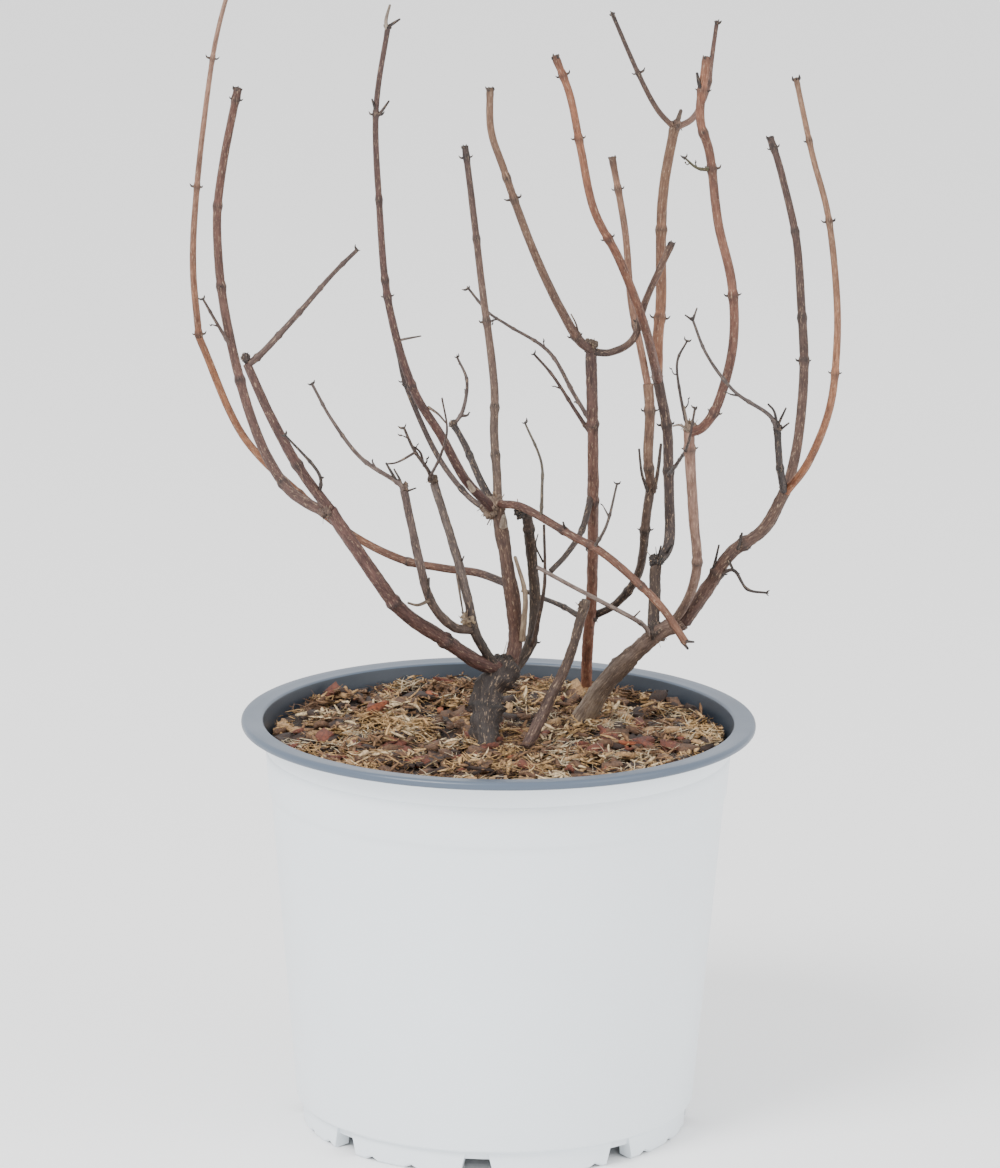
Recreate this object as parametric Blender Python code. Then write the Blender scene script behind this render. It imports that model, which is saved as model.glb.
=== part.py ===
"""A bare smooth hydrangea in its nursery pot. Metres, +Z up, front towards -Y."""

import math
import random

import bmesh
import bpy
import numpy as np
from mathutils import Vector, noise

MM = 0.001
GAP = 0.0003

# The pot, a five-litre nursery container, in millimetres
RIM_RADIUS = 113.0
POT_HEIGHT = 183.0
LIP_HEIGHT = 3.4
RIM_INNER = 104.0
WALL = 1.6
FLOOR = 2.4
BODY_TOP_RADIUS = 102.6
BODY_FOOT_RADIUS = 88.0
FOOT_RADIUS = 85.0
FOOT_HEIGHT = 11.0
COLLAR_FOOT = 150.0
COLLAR_STEP = 0.8
FOOT_RING = 9.4
FOOT_RING_INNER = 76.0
NOTCHES = 8
NOTCH_WIDTH = 13.0
FIRST_NOTCH = math.radians(-95.0)
NOTCH_HEIGHT = 7.0
NOTCH_DEPTH = 5.0
POT_SIDES = 48
MULCH_HEIGHT = 175.0
MULCH_RELIEF = 2.2

# The photograph's view: what one picture unit is, and where its rays come from
SCALE_DEPTH = 2622.0
FOCAL = 6000.0
TILT = math.radians(13.0)
ROLL = 0.0105
AIM_HEIGHT = 243.0
PICTURE_CENTRE = (500.0, 584.0)

BARK_BROWN = (0.16, 0.085, 0.06)
BARK_DARK = (0.06, 0.04, 0.032)
BARK_TAN = (0.36, 0.22, 0.145)
BARK_ORANGE = (0.32, 0.14, 0.07)
BARK_GREY = (0.2, 0.165, 0.14)

# Each limb: its thickness at both ends in millimetres, its bark, and the few places it passes,
# as picture column, picture row and depth behind the pot's axis.
LIMBS = {
    "stump": (8.6, 11.5, BARK_DARK,
              [(486, 752, -26), (486, 720, -16), (491, 690, -8), (504, 664, 0)]),
    "stem_right": (9.6, 6.6, BARK_GREY,
                   [(576, 728, 24), (609, 680, 14), (650, 638, 6), (684, 621, 2)]),
    "stem_back": (5.0, 5.0, BARK_BROWN,
                  [(586, 690, 82), (588, 641, 60), (592, 585, 42), (593, 460, 16), (591, 346, 2)]),
    "stem_slender": (5.2, 4.0, BARK_BROWN,
                     [(526, 748, -24), (549, 701, -14), (569, 658, -12), (586, 600, -10)]),
    "stem_middle": (6.6, 6.2, BARK_BROWN,
                    [(509, 670, 2), (516, 634, 4), (509, 578, 0), (505, 550, 0), (497, 504, 0)]),
    "stem_middle_right": (5.2, 4.6, BARK_DARK,
                          [(512, 672, 4), (530, 645, 14), (535, 606, 18), (532, 560, 12),
                           (527, 514, -8)]),
    "stem_left": (6.6, 5.7, BARK_BROWN,
                  [(497, 668, -6), (476, 661, -14), (446, 641, -24), (400, 609, -38),
                   (366, 563, -46), (330, 510, -50)]),
    "stem_left_inner": (4.4, 3.6, BARK_DARK,
                        [(494, 666, -8), (476, 634, -18), (468, 600, -20), (457, 558, -16),
                         (434, 483, -6)]),
    "stem_left_front": (4.2, 3.5, BARK_GREY,
                        [(470, 630, -19), (452, 626, -30), (431, 602, -44), (419, 560, -56),
                         (404, 490, -62)]),
    "bough_left": (4.8, 3.7, BARK_BROWN,
                   [(330, 510, -50), (298, 466, -53), (270, 415, -50), (247, 364, -44)]),
    "cane_left": (4.7, 3.4, BARK_BROWN,
                  [(332, 514, -50), (307, 503, -38), (284, 484, -28), (260, 441, -12),
                   (240, 380, 0), (223, 300, 8), (217, 225, 12), (223, 165, 12), (238, 88, 8)]),
    "bough_far_left": (3.6, 3.4, BARK_ORANGE,
                       [(508, 584, 0), (478, 573, 20), (442, 568, 32), (400, 559, 42),
                        (351, 534, 54), (300, 494, 64), (242, 434, 72), (199, 337, 72)]),
    "cane_far_left": (3.3, 1.8, BARK_TAN,
                      [(199, 337, 72), (193, 265, 66), (197, 186, 58), (208, 90, 48),
                       (218, 30, 40), (236, -36, 30)]),
    "cane_centre_left": (4.3, 2.2, BARK_BROWN,
                         [(492, 508, -3), (465, 479, -12), (442, 437, -22), (412, 386, -34),
                          (388, 300, -50), (379, 200, -60), (376, 110, -62), (388, 26, -62)]),
    "cane_thin_left": (2.6, 2.2, BARK_DARK,
                       [(490, 512, 2), (466, 494, 12), (436, 453, 18), (407, 388, 14),
                        (398, 350, 6)]),
    "cane_dark": (3.9, 2.6, BARK_DARK,
                  [(494, 506, 3), (480, 480, 16), (466, 447, 30), (453, 424, 38)]),
    "cane_centre": (4.1, 2.8, BARK_BROWN,
                    [(498, 506, 3), (497, 478, 14), (494, 430, 28), (494, 382, 42),
                     (482, 286, 62), (472, 201, 74), (465, 146, 80)]),
    "bough_crossing": (3.6, 3.4, BARK_ORANGE,
                       [(500, 504, -2), (524, 508, -18), (571, 535, -36), (607, 556, -44),
                        (658, 603, -50), (686, 643, -52)]),
    "bough_slender": (2.6, 2.0, BARK_DARK,
                      [(581, 617, -11), (562, 606, 12), (540, 597, 32), (522, 590, 36)]),
    "cane_back_left": (4.2, 3.0, BARK_TAN,
                       [(591, 350, 2), (576, 336, -6), (549, 286, -24), (526, 232, -36),
                        (504, 170, -44), (491, 130, -48), (490, 88, -48)]),
    "cane_back_right": (3.3, 2.9, BARK_BROWN,
                        [(592, 352, 2), (612, 352, 4), (634, 338, 0), (646, 300, -6),
                         (672, 243, -14)]),
    "bough_inner": (2.9, 2.4, BARK_DARK,
                    [(591, 496, 22), (582, 530, 10), (566, 555, -4), (551, 571, -12)]),
    "bough_right": (6.5, 5.0, BARK_BROWN,
                    [(684, 621, 2), (707, 589, -4), (732, 552, -12), (765, 528, -16),
                     (788, 484, -18)]),
    "cane_right": (4.7, 3.0, BARK_BROWN,
                   [(788, 486, -18), (798, 440, -6), (804, 370, 10), (801, 300, 24),
                    (796, 238, 36), (781, 172, 48), (770, 137, 54)]),
    "cane_far_right": (3.8, 2.3, BARK_ORANGE,
                       [(786, 492, -18), (809, 461, -34), (830, 407, -48), (837, 343, -56),
                        (836, 285, -57), (828, 215, -54), (812, 153, -48), (796, 78, -40)]),
    "cane_right_short": (3.5, 3.0, BARK_GREY,
                         [(784, 490, -20), (780, 468, -32), (777, 428, -40)]),
    "stem_upright": (5.4, 5.2, BARK_DARK,
                     [(653, 637, 6), (654, 606, 11), (656, 564, 15)]),
    "bough_upright": (4.8, 4.6, BARK_DARK,
                      [(656, 564, 15), (669, 543, 24), (669, 491, 32), (667, 430, 36),
                       (657, 376, 32)]),
    "cane_upright": (4.9, 4.4, BARK_TAN,
                     [(657, 378, 32), (658, 338, 40), (661, 300, 46), (661, 238, 52),
                      (664, 186, 56), (675, 125, 60)]),
    "cane_upright_left": (2.6, 1.7, BARK_GREY,
                          [(674, 128, 60), (657, 109, 52), (638, 73, 42), (612, 13, 30)]),
    "cane_upright_right": (3.0, 1.7, BARK_TAN,
                           [(676, 128, 60), (694, 117, 63), (707, 90, 64), (711, 64, 62),
                            (717, 21, 58)]),
    "cane_orange": (4.3, 3.2, BARK_ORANGE,
                    [(658, 380, 32), (651, 350, 8), (641, 315, -14), (619, 259, -30),
                     (594, 210, -40), (581, 150, -48), (570, 96, -52), (555, 56, -54)]),
    "bough_dark": (3.4, 4.3, BARK_DARK,
                   [(591, 617, 53), (617, 603, 46), (639, 572, 36), (646, 520, 22),
                    (651, 486, 16)]),
    "bough_tan": (4.2, 4.7, BARK_TAN,
                  [(651, 488, 16), (648, 455, 14), (650, 415, 13), (648, 384, 14)]),
    "cane_tan": (3.4, 3.0, BARK_TAN,
                 [(648, 386, 14), (641, 350, 20), (631, 300, 24), (625, 230, 28), (612, 157, 32)]),
    "stem_pale": (3.9, 4.9, BARK_TAN,
                  [(668, 630, 4), (688, 599, -8), (697, 566, -16), (694, 522, -22),
                   (690, 460, -28), (689, 430, -32)]),
    "cane_curved": (4.2, 3.8, BARK_ORANGE,
                    [(689, 433, -31), (704, 426, -38), (719, 401, -44), (733, 345, -50),
                     (732, 285, -52), (718, 222, -50), (710, 155, -46), (700, 116, -43),
                     (707, 57, -40)]),
    "bough_grey": (2.2, 1.8, BARK_GREY,
                   [(649, 637, 6), (642, 624, -12), (602, 602, -24), (566, 583, -26),
                    (537, 567, -24)]),
}

# Each mass of twigs: its stem's thickness, its number of side twigs and its stem's places
TWIGS = {
    "twigs_far_left": (2.4, 2,
                       [(247, 366, -44), (265, 350, -46), (297, 315, -50), (332, 275, -52),
                        (357, 250, -52)]),
    "twigs_left": (1.7, 2, [(320, 494, -51), (318, 472, -58), (285, 435, -60)]),
    "twigs_cane_left": (1.9, 2, [(233, 350, 4), (215, 320, 0), (203, 299, -4)]),
    "twigs_inner": (2.0, 4,
                    [(434, 485, -6), (428, 470, -12), (414, 450, -22), (404, 428, -30)]),
    "twigs_front": (2.2, 3,
                    [(404, 492, -62), (397, 482, -64), (361, 458, -66), (332, 420, -66),
                     (312, 384, -64)]),
    "twigs_dark": (1.9, 4,
                   [(453, 426, 38), (463, 410, 42), (467, 381, 46), (457, 357, 50)]),
    "twigs_crossing": (1.7, 2,
                       [(541, 518, -25), (542, 491, -30), (541, 461, -32), (525, 423, -34)]),
    "twigs_crossing_right": (1.7, 2,
                             [(594, 548, -42), (607, 524, -50), (617, 484, -52)]),
    "twigs_back": (2.0, 2,
                   [(592, 436, 13), (575, 410, 10), (553, 376, 6), (534, 354, 4)]),
    "twigs_back_long": (2.0, 3,
                        [(592, 424, 12), (575, 396, 22), (549, 352, 34), (509, 326, 56),
                         (488, 312, 72), (468, 288, 80)]),
    "twigs_pale": (1.6, 3,
                   [(689, 432, -32), (682, 404, -30), (677, 364, -28), (687, 341, -28)]),
    "twigs_upright": (1.9, 2,
                      [(668, 476, 33), (678, 462, 4), (688, 444, -42), (695, 408, -48)]),
    "twigs_curved": (1.6, 3, [(711, 170, -47), (697, 168, -52), (685, 158, -56)]),
    "twigs_right": (2.0, 3,
                    [(777, 430, -40), (768, 414, -46), (734, 391, -58), (707, 355, -64),
                     (692, 318, -66)]),
    "twigs_under": (1.9, 3,
                    [(714, 580, -6), (733, 570, -14), (747, 589, -18), (767, 593, -20)]),
}

SIDE_TWIG_LENGTHS = (4.0, 9.0)
SIDE_TWIG_WIDTH = 0.55
SIDE_TWIG_BEND = (0.25, 0.45)
SIDE_TWIG_TIP = (0.62, 0.75)
TWIG_CLEARANCE = 1.2
TWIG_STEP = 9.0
LIMB_STEP = 30.0
FINE_STEP = 1.5
TOUCHING = 2.0
SOIL_ROW = 685


def clear_scene():
    for obj in list(bpy.data.objects):
        bpy.data.objects.remove(obj, do_unlink=True)


def bark(name, colour, roughness=0.8):
    material = bpy.data.materials.new(name)
    material.use_nodes = True
    shader = material.node_tree.nodes["Principled BSDF"]
    shader.inputs["Base Color"].default_value = (*colour, 1.0)
    shader.inputs["Roughness"].default_value = roughness
    return material


def seen(column, row, depth):
    """The point behind a place in the picture, at a depth behind the pot's axis, in millimetres."""
    across = column - PICTURE_CENTRE[0]
    down = row - PICTURE_CENTRE[1]
    across, down = across + ROLL * down, down - ROLL * across
    forward = Vector((0, math.cos(TILT), -math.sin(TILT)))
    upward = Vector((0, math.sin(TILT), math.cos(TILT)))
    eye = Vector((0, 0, AIM_HEIGHT)) - SCALE_DEPTH * forward
    ray = forward + Vector((across / FOCAL, 0, 0)) - (down / FOCAL) * upward
    return eye + ray * ((depth - eye.y) / ray.y)


def smooth_route(places, step):
    """Points of an even step along a smooth curve through the places, with the share of its length."""
    knots = [seen(*place) for place in places]
    knots = [2 * knots[0] - knots[1]] + knots + [2 * knots[-1] - knots[-2]]
    fine = []
    for a, b, c, d in zip(knots, knots[1:], knots[2:], knots[3:]):
        for t in np.linspace(0, 1, 12, endpoint=False):
            fine.append(0.5 * (2 * b + (c - a) * t + (2 * a - 5 * b + 4 * c - d) * t ** 2
                               + (3 * b - a - 3 * c + d) * t ** 3))
    fine.append(knots[-2].copy())
    reach = [0.0]
    for a, b in zip(fine, fine[1:]):
        reach.append(reach[-1] + (b - a).length)
    count = max(4, round(reach[-1] / step) + 1)
    axes = [np.interp(np.linspace(0, reach[-1], count), reach, [p[i] for p in fine])
            for i in range(3)]
    return [Vector(p) * MM for p in zip(*axes)]


def mesh_object(name, mesh, material):
    obj = bpy.data.objects.new(name, mesh)
    mesh.materials.clear()
    mesh.materials.append(material)
    bpy.context.collection.objects.link(obj)
    return obj


def tube_mesh(name, points, widths, sides_step):
    """A closed tapering tube: a bevelled curve turned into a mesh."""
    curve = bpy.data.curves.new(name, "CURVE")
    curve.dimensions = "3D"
    curve.bevel_depth = 1.0
    curve.bevel_resolution = sides_step
    curve.use_fill_caps = True
    spline = curve.splines.new("POLY")
    spline.points.add(len(points) - 1)
    for point, place, width in zip(spline.points, points, widths):
        point.co = (*place, 1.0)
        point.radius = width / 2
    holder = bpy.data.objects.new(name, curve)
    bpy.context.collection.objects.link(holder)
    bpy.context.view_layer.update()
    graph = bpy.context.evaluated_depsgraph_get()
    mesh = bpy.data.meshes.new_from_object(holder.evaluated_get(graph))
    bpy.data.objects.remove(holder)
    shape = bmesh.new()
    shape.from_mesh(mesh)
    bmesh.ops.remove_doubles(shape, verts=shape.verts, dist=1e-6)
    bmesh.ops.recalc_face_normals(shape, faces=shape.faces)
    shape.to_mesh(mesh)
    shape.free()
    return mesh


def largest_body(mesh):
    """Keeps a mesh's largest connected body, so that no loose scrap stays."""
    shape = bmesh.new()
    shape.from_mesh(mesh)
    left = set(shape.verts)
    bodies = []
    while left:
        body = {left.pop()}
        front = list(body)
        while front:
            vert = front.pop()
            for edge in vert.link_edges:
                other = edge.other_vert(vert)
                if other not in body:
                    body.add(other)
                    front.append(other)
        left -= body
        bodies.append(body)
    bodies.sort(key=len)
    for body in bodies[:-1]:
        bmesh.ops.delete(shape, geom=list(body), context="VERTS")
    shape.to_mesh(mesh)
    shape.free()


def with_booleans(obj, operation, others, solver="EXACT"):
    """Applies one Boolean for each of the other objects."""
    for other in others:
        cut = obj.modifiers.new("join", "BOOLEAN")
        cut.operation = operation
        cut.solver = solver
        cut.object = other
    bpy.context.view_layer.update()
    graph = bpy.context.evaluated_depsgraph_get()
    mesh = bpy.data.meshes.new_from_object(obj.evaluated_get(graph))
    obj.modifiers.clear()
    obj.data = mesh
    largest_body(mesh)


def as_cutter(obj):
    obj.hide_render = True
    obj.display_type = "WIRE"


def revolved(name, profile, sides, material):
    """A closed outline of radius and height, turned about the pot's axis."""
    shape = bmesh.new()
    verts = [shape.verts.new((radius * MM, 0, height * MM)) for radius, height in profile]
    edges = [shape.edges.new(pair) for pair in zip(verts, verts[1:])]
    bmesh.ops.spin(shape, geom=verts + edges, cent=(0, 0, 0), axis=(0, 0, 1),
                   angle=2 * math.pi, steps=sides, use_merge=True)
    bmesh.ops.remove_doubles(shape, verts=shape.verts, dist=1e-6)
    bmesh.ops.recalc_face_normals(shape, faces=shape.faces)
    mesh = bpy.data.meshes.new(name)
    shape.to_mesh(mesh)
    shape.free()
    return mesh_object(name, mesh, material)


def body_radius(height):
    share = (height - FOOT_HEIGHT) / (POT_HEIGHT - FOOT_HEIGHT)
    return BODY_FOOT_RADIUS + (BODY_TOP_RADIUS - BODY_FOOT_RADIUS) * share


def make_pot():
    lip_foot = POT_HEIGHT - LIP_HEIGHT
    outline = [(0, 0), (FOOT_RADIUS - 1, 0), (FOOT_RADIUS, 1), (FOOT_RADIUS, FOOT_HEIGHT),
               (BODY_FOOT_RADIUS, FOOT_HEIGHT + 1),
               (body_radius(COLLAR_FOOT), COLLAR_FOOT),
               (body_radius(COLLAR_FOOT) + COLLAR_STEP, COLLAR_FOOT + 1),
               (BODY_TOP_RADIUS + COLLAR_STEP, lip_foot - 6), (RIM_INNER + 2, lip_foot),
               (RIM_RADIUS - 0.6, lip_foot), (RIM_RADIUS, lip_foot + 0.8),
               (RIM_RADIUS, POT_HEIGHT - 1), (RIM_RADIUS - 1.2, POT_HEIGHT),
               (RIM_INNER, POT_HEIGHT - 0.4), (BODY_TOP_RADIUS - WALL, POT_HEIGHT - 5),
               (BODY_FOOT_RADIUS - WALL, FOOT_HEIGHT + 2), (FOOT_RADIUS - WALL, FOOT_RING),
               (FOOT_RING_INNER, FOOT_RING), (FOOT_RING_INNER, FLOOR), (0, FLOOR)]
    pot = revolved("pot", outline, POT_SIDES, bark("pot_plastic", (0.75, 0.78, 0.8), 0.4))
    notches = []
    for index in range(NOTCHES):
        turn = FIRST_NOTCH + 2 * math.pi * index / NOTCHES
        shape = bmesh.new()
        bmesh.ops.create_cube(shape, size=1)
        bmesh.ops.scale(shape, vec=(2 * NOTCH_DEPTH * MM, NOTCH_WIDTH * MM, 2 * NOTCH_HEIGHT * MM),
                        verts=shape.verts)
        mesh = bpy.data.meshes.new("notch")
        shape.to_mesh(mesh)
        shape.free()
        notch = mesh_object("notch", mesh, pot.data.materials[0])
        notch.location = (FOOT_RADIUS * MM * math.cos(turn), FOOT_RADIUS * MM * math.sin(turn), 0)
        notch.rotation_euler = (0, 0, turn)
        notches.append(notch)
    with_booleans(pot, "DIFFERENCE", notches)
    for notch in notches:
        bpy.data.objects.remove(notch)
    pot.data.shade_smooth()
    pot.data.set_sharp_from_angle(angle=math.radians(35))
    return pot


def medium_mesh(name, lift, rings=9, sides=POT_SIDES // 2):
    """The filling: a smooth cup of soil whose top is lumpy mulch, raised by lift."""
    clear = 2 * GAP / MM
    shape = bmesh.new()
    top_radius = body_radius(MULCH_HEIGHT) - WALL - 1.2
    levels = [(FOOT_RING_INNER - 0.8 + lift, FLOOR + clear - lift),
              (FOOT_RING_INNER - 0.8 + lift, FOOT_RING + clear - lift),
              (FOOT_RADIUS - WALL - 1.4 + lift, FOOT_RING + clear - lift),
              (BODY_FOOT_RADIUS - WALL - 2 + lift, 18.0)]
    edge = len(levels)
    levels += [(top_radius * (1 - k / rings), MULCH_HEIGHT) for k in range(rings)]
    ring_before = None
    for level, (radius, height) in enumerate(levels):
        ring = []
        for k in range(sides):
            turn = 2 * math.pi * k / sides
            place = Vector((radius * math.cos(turn), radius * math.sin(turn), height))
            if level > edge:
                place.z += lift + MULCH_RELIEF * noise.noise(place * 0.06) * 2
            elif level == edge:
                place.z += lift - 1.0
            ring.append(shape.verts.new(place * MM))
        if ring_before:
            for k in range(sides):
                shape.faces.new((ring_before[k], ring_before[k - 1], ring[k - 1], ring[k]))
        else:
            shape.faces.new(ring)
        ring_before = ring
    shape.faces.new(ring_before)
    bmesh.ops.recalc_face_normals(shape, faces=shape.faces)
    mesh = bpy.data.meshes.new(name)
    shape.to_mesh(mesh)
    shape.free()
    return mesh


def nearest(points, radius, others, other_radius):
    """The room between two tubes, from their points."""
    a = np.array([tuple(p) for p in points])
    b = np.array([tuple(p) for p in others])
    room = np.linalg.norm(a[:, None] - b[None], axis=2).min()
    return room - radius - other_radius


def make_limbs(placed, ground):
    for name, (base, tip, colour, places) in LIMBS.items():
        points = smooth_route(places, LIMB_STEP)
        widths = [w * MM for w in np.linspace(base, tip, len(points))]
        limb = mesh_object(name, tube_mesh(name, points, widths, 1), bark(name + "_bark", colour))
        fine = smooth_route(places, FINE_STEP)
        cutters = [ground] if places[0][1] > SOIL_ROW else []
        for _, other_fine, other_width, cutter in placed:
            if nearest(fine, widths[0] / 2, other_fine, other_width / 2) < TOUCHING * MM:
                cutters.append(cutter)
        # EXACT loses the far right cane whole
        with_booleans(limb, "DIFFERENCE", cutters, "MANIFOLD")
        limb.data.shade_smooth()
        fat = [w + 2 * GAP for w in widths]
        cutter = mesh_object("cut_" + name, tube_mesh("cut", points, fat, 1), limb.data.materials[0])
        as_cutter(cutter)
        placed.append((name, fine, max(base, tip) * MM, cutter))


def side_twig(rng, stem, index):
    """The route of one short twig that leaves a stem."""
    along = stem[index] - stem[index - 1]
    along.normalize()
    out = along.orthogonal()
    spin = rng.uniform(0, 2 * math.pi)
    across = out * math.cos(spin) + along.cross(out) * math.sin(spin)
    length = rng.uniform(*SIDE_TWIG_LENGTHS) * MM
    middle = stem[index] + length * (SIDE_TWIG_BEND[0] * along + SIDE_TWIG_BEND[1] * across)
    end = stem[index] + length * (SIDE_TWIG_TIP[0] * along + SIDE_TWIG_TIP[1] * across)
    return [stem[index], middle, end]


def make_twigs(placed):
    for order, (name, (width, count, places)) in enumerate(TWIGS.items()):
        rng = random.Random(40 + order)
        stem = smooth_route(places, TWIG_STEP)
        widths = [w * MM for w in np.linspace(width, width * 0.45, len(stem))]
        twigs = mesh_object(name, tube_mesh(name, stem, widths, 0), bark(name + "_bark", BARK_GREY))
        parts = []
        for side in range(count):
            index = 1 + side % (len(stem) - 2)
            route = side_twig(rng, stem, index)
            thick = SIDE_TWIG_WIDTH * widths[index]
            if any(nearest(route[1:], thick, fine, w / 2) < TWIG_CLEARANCE * MM
                   for _, fine, w, _ in placed):
                continue
            tapers = [thick, thick * 0.8, thick * 0.45]
            parts.append(mesh_object("side", tube_mesh("side", route, tapers, 0),
                                     twigs.data.materials[0]))
        with_booleans(twigs, "UNION", parts)
        for part in parts:
            bpy.data.objects.remove(part)
        fine = smooth_route(places, FINE_STEP)
        cutters = [cutter for _, other, w, cutter in placed
                   if nearest(fine, widths[0] / 2, other, w / 2) < TOUCHING * MM]
        with_booleans(twigs, "DIFFERENCE", cutters)
        fat = [w + 2 * GAP for w in widths]
        cutter = mesh_object("cut_" + name, tube_mesh("cut", stem, fat, 0),
                             twigs.data.materials[0])
        as_cutter(cutter)
        placed.append((name, fine, width * MM, cutter))


def main():
    clear_scene()
    make_pot()
    soil = bark("mulch", (0.2, 0.12, 0.07), 0.95)
    mesh_object("growing_medium", medium_mesh("growing_medium", 0.0), soil)
    ground = mesh_object("cut_ground", medium_mesh("cut_ground", GAP / MM), soil)
    as_cutter(ground)
    placed = []
    make_limbs(placed, ground)
    make_twigs(placed)


main()
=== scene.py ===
"""The looks of a bare smooth hydrangea in its nursery pot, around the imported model."""

import math
import random

import bmesh
import bpy
import numpy as np
from bpy.props import FloatProperty, FloatVectorProperty, IntProperty, PointerProperty
from mathutils import Matrix, Vector, noise


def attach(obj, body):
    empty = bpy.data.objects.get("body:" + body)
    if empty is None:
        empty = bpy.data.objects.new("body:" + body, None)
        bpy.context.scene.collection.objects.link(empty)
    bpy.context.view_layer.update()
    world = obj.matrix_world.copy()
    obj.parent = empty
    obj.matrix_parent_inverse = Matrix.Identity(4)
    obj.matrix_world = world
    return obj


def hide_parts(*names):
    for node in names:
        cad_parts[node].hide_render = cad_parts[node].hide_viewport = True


bl_info = {
    "name": "Potted smooth hydrangea",
    "version": (1, 0, 0),
    "blender": (4, 5, 0),
    "location": "View3D > Sidebar > Shrub",
    "description": "Makes a bare hydrangea with bark, twigs, mulch and its pot",
    "category": "Object",
}

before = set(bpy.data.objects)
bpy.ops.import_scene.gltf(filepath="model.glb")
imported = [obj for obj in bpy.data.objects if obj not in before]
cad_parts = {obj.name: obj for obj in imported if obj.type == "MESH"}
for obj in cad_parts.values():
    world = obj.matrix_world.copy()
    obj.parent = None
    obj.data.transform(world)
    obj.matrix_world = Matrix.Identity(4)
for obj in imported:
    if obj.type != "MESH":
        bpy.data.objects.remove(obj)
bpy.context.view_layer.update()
MM = 0.001
MERGE = 0.001 * MM

# The view of the photograph: its frame in pixels, the camera's lens and its place in millimetres
FRAME_WIDTH = 1000
FRAME_HEIGHT = 1168
SENSOR = 36.0
FOCAL = 6000.0
SCALE_DEPTH = 2622.0
TILT = math.radians(13.0)
ROLL = 0.0105
AIM_HEIGHT = 243.0
FORWARD = Vector((0, math.cos(TILT), -math.sin(TILT)))
UPWARD = Vector((0, math.sin(TILT), math.cos(TILT)))
EYE = Vector((0, 0, AIM_HEIGHT)) - SCALE_DEPTH * FORWARD

# The studio: the paper's colour, the sky's strength and the height that the lights point at
PAPER = (0.93, 0.93, 0.93, 1)
SKY_STRENGTH = 1.65
LIGHT_AIM = 0.2

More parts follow.
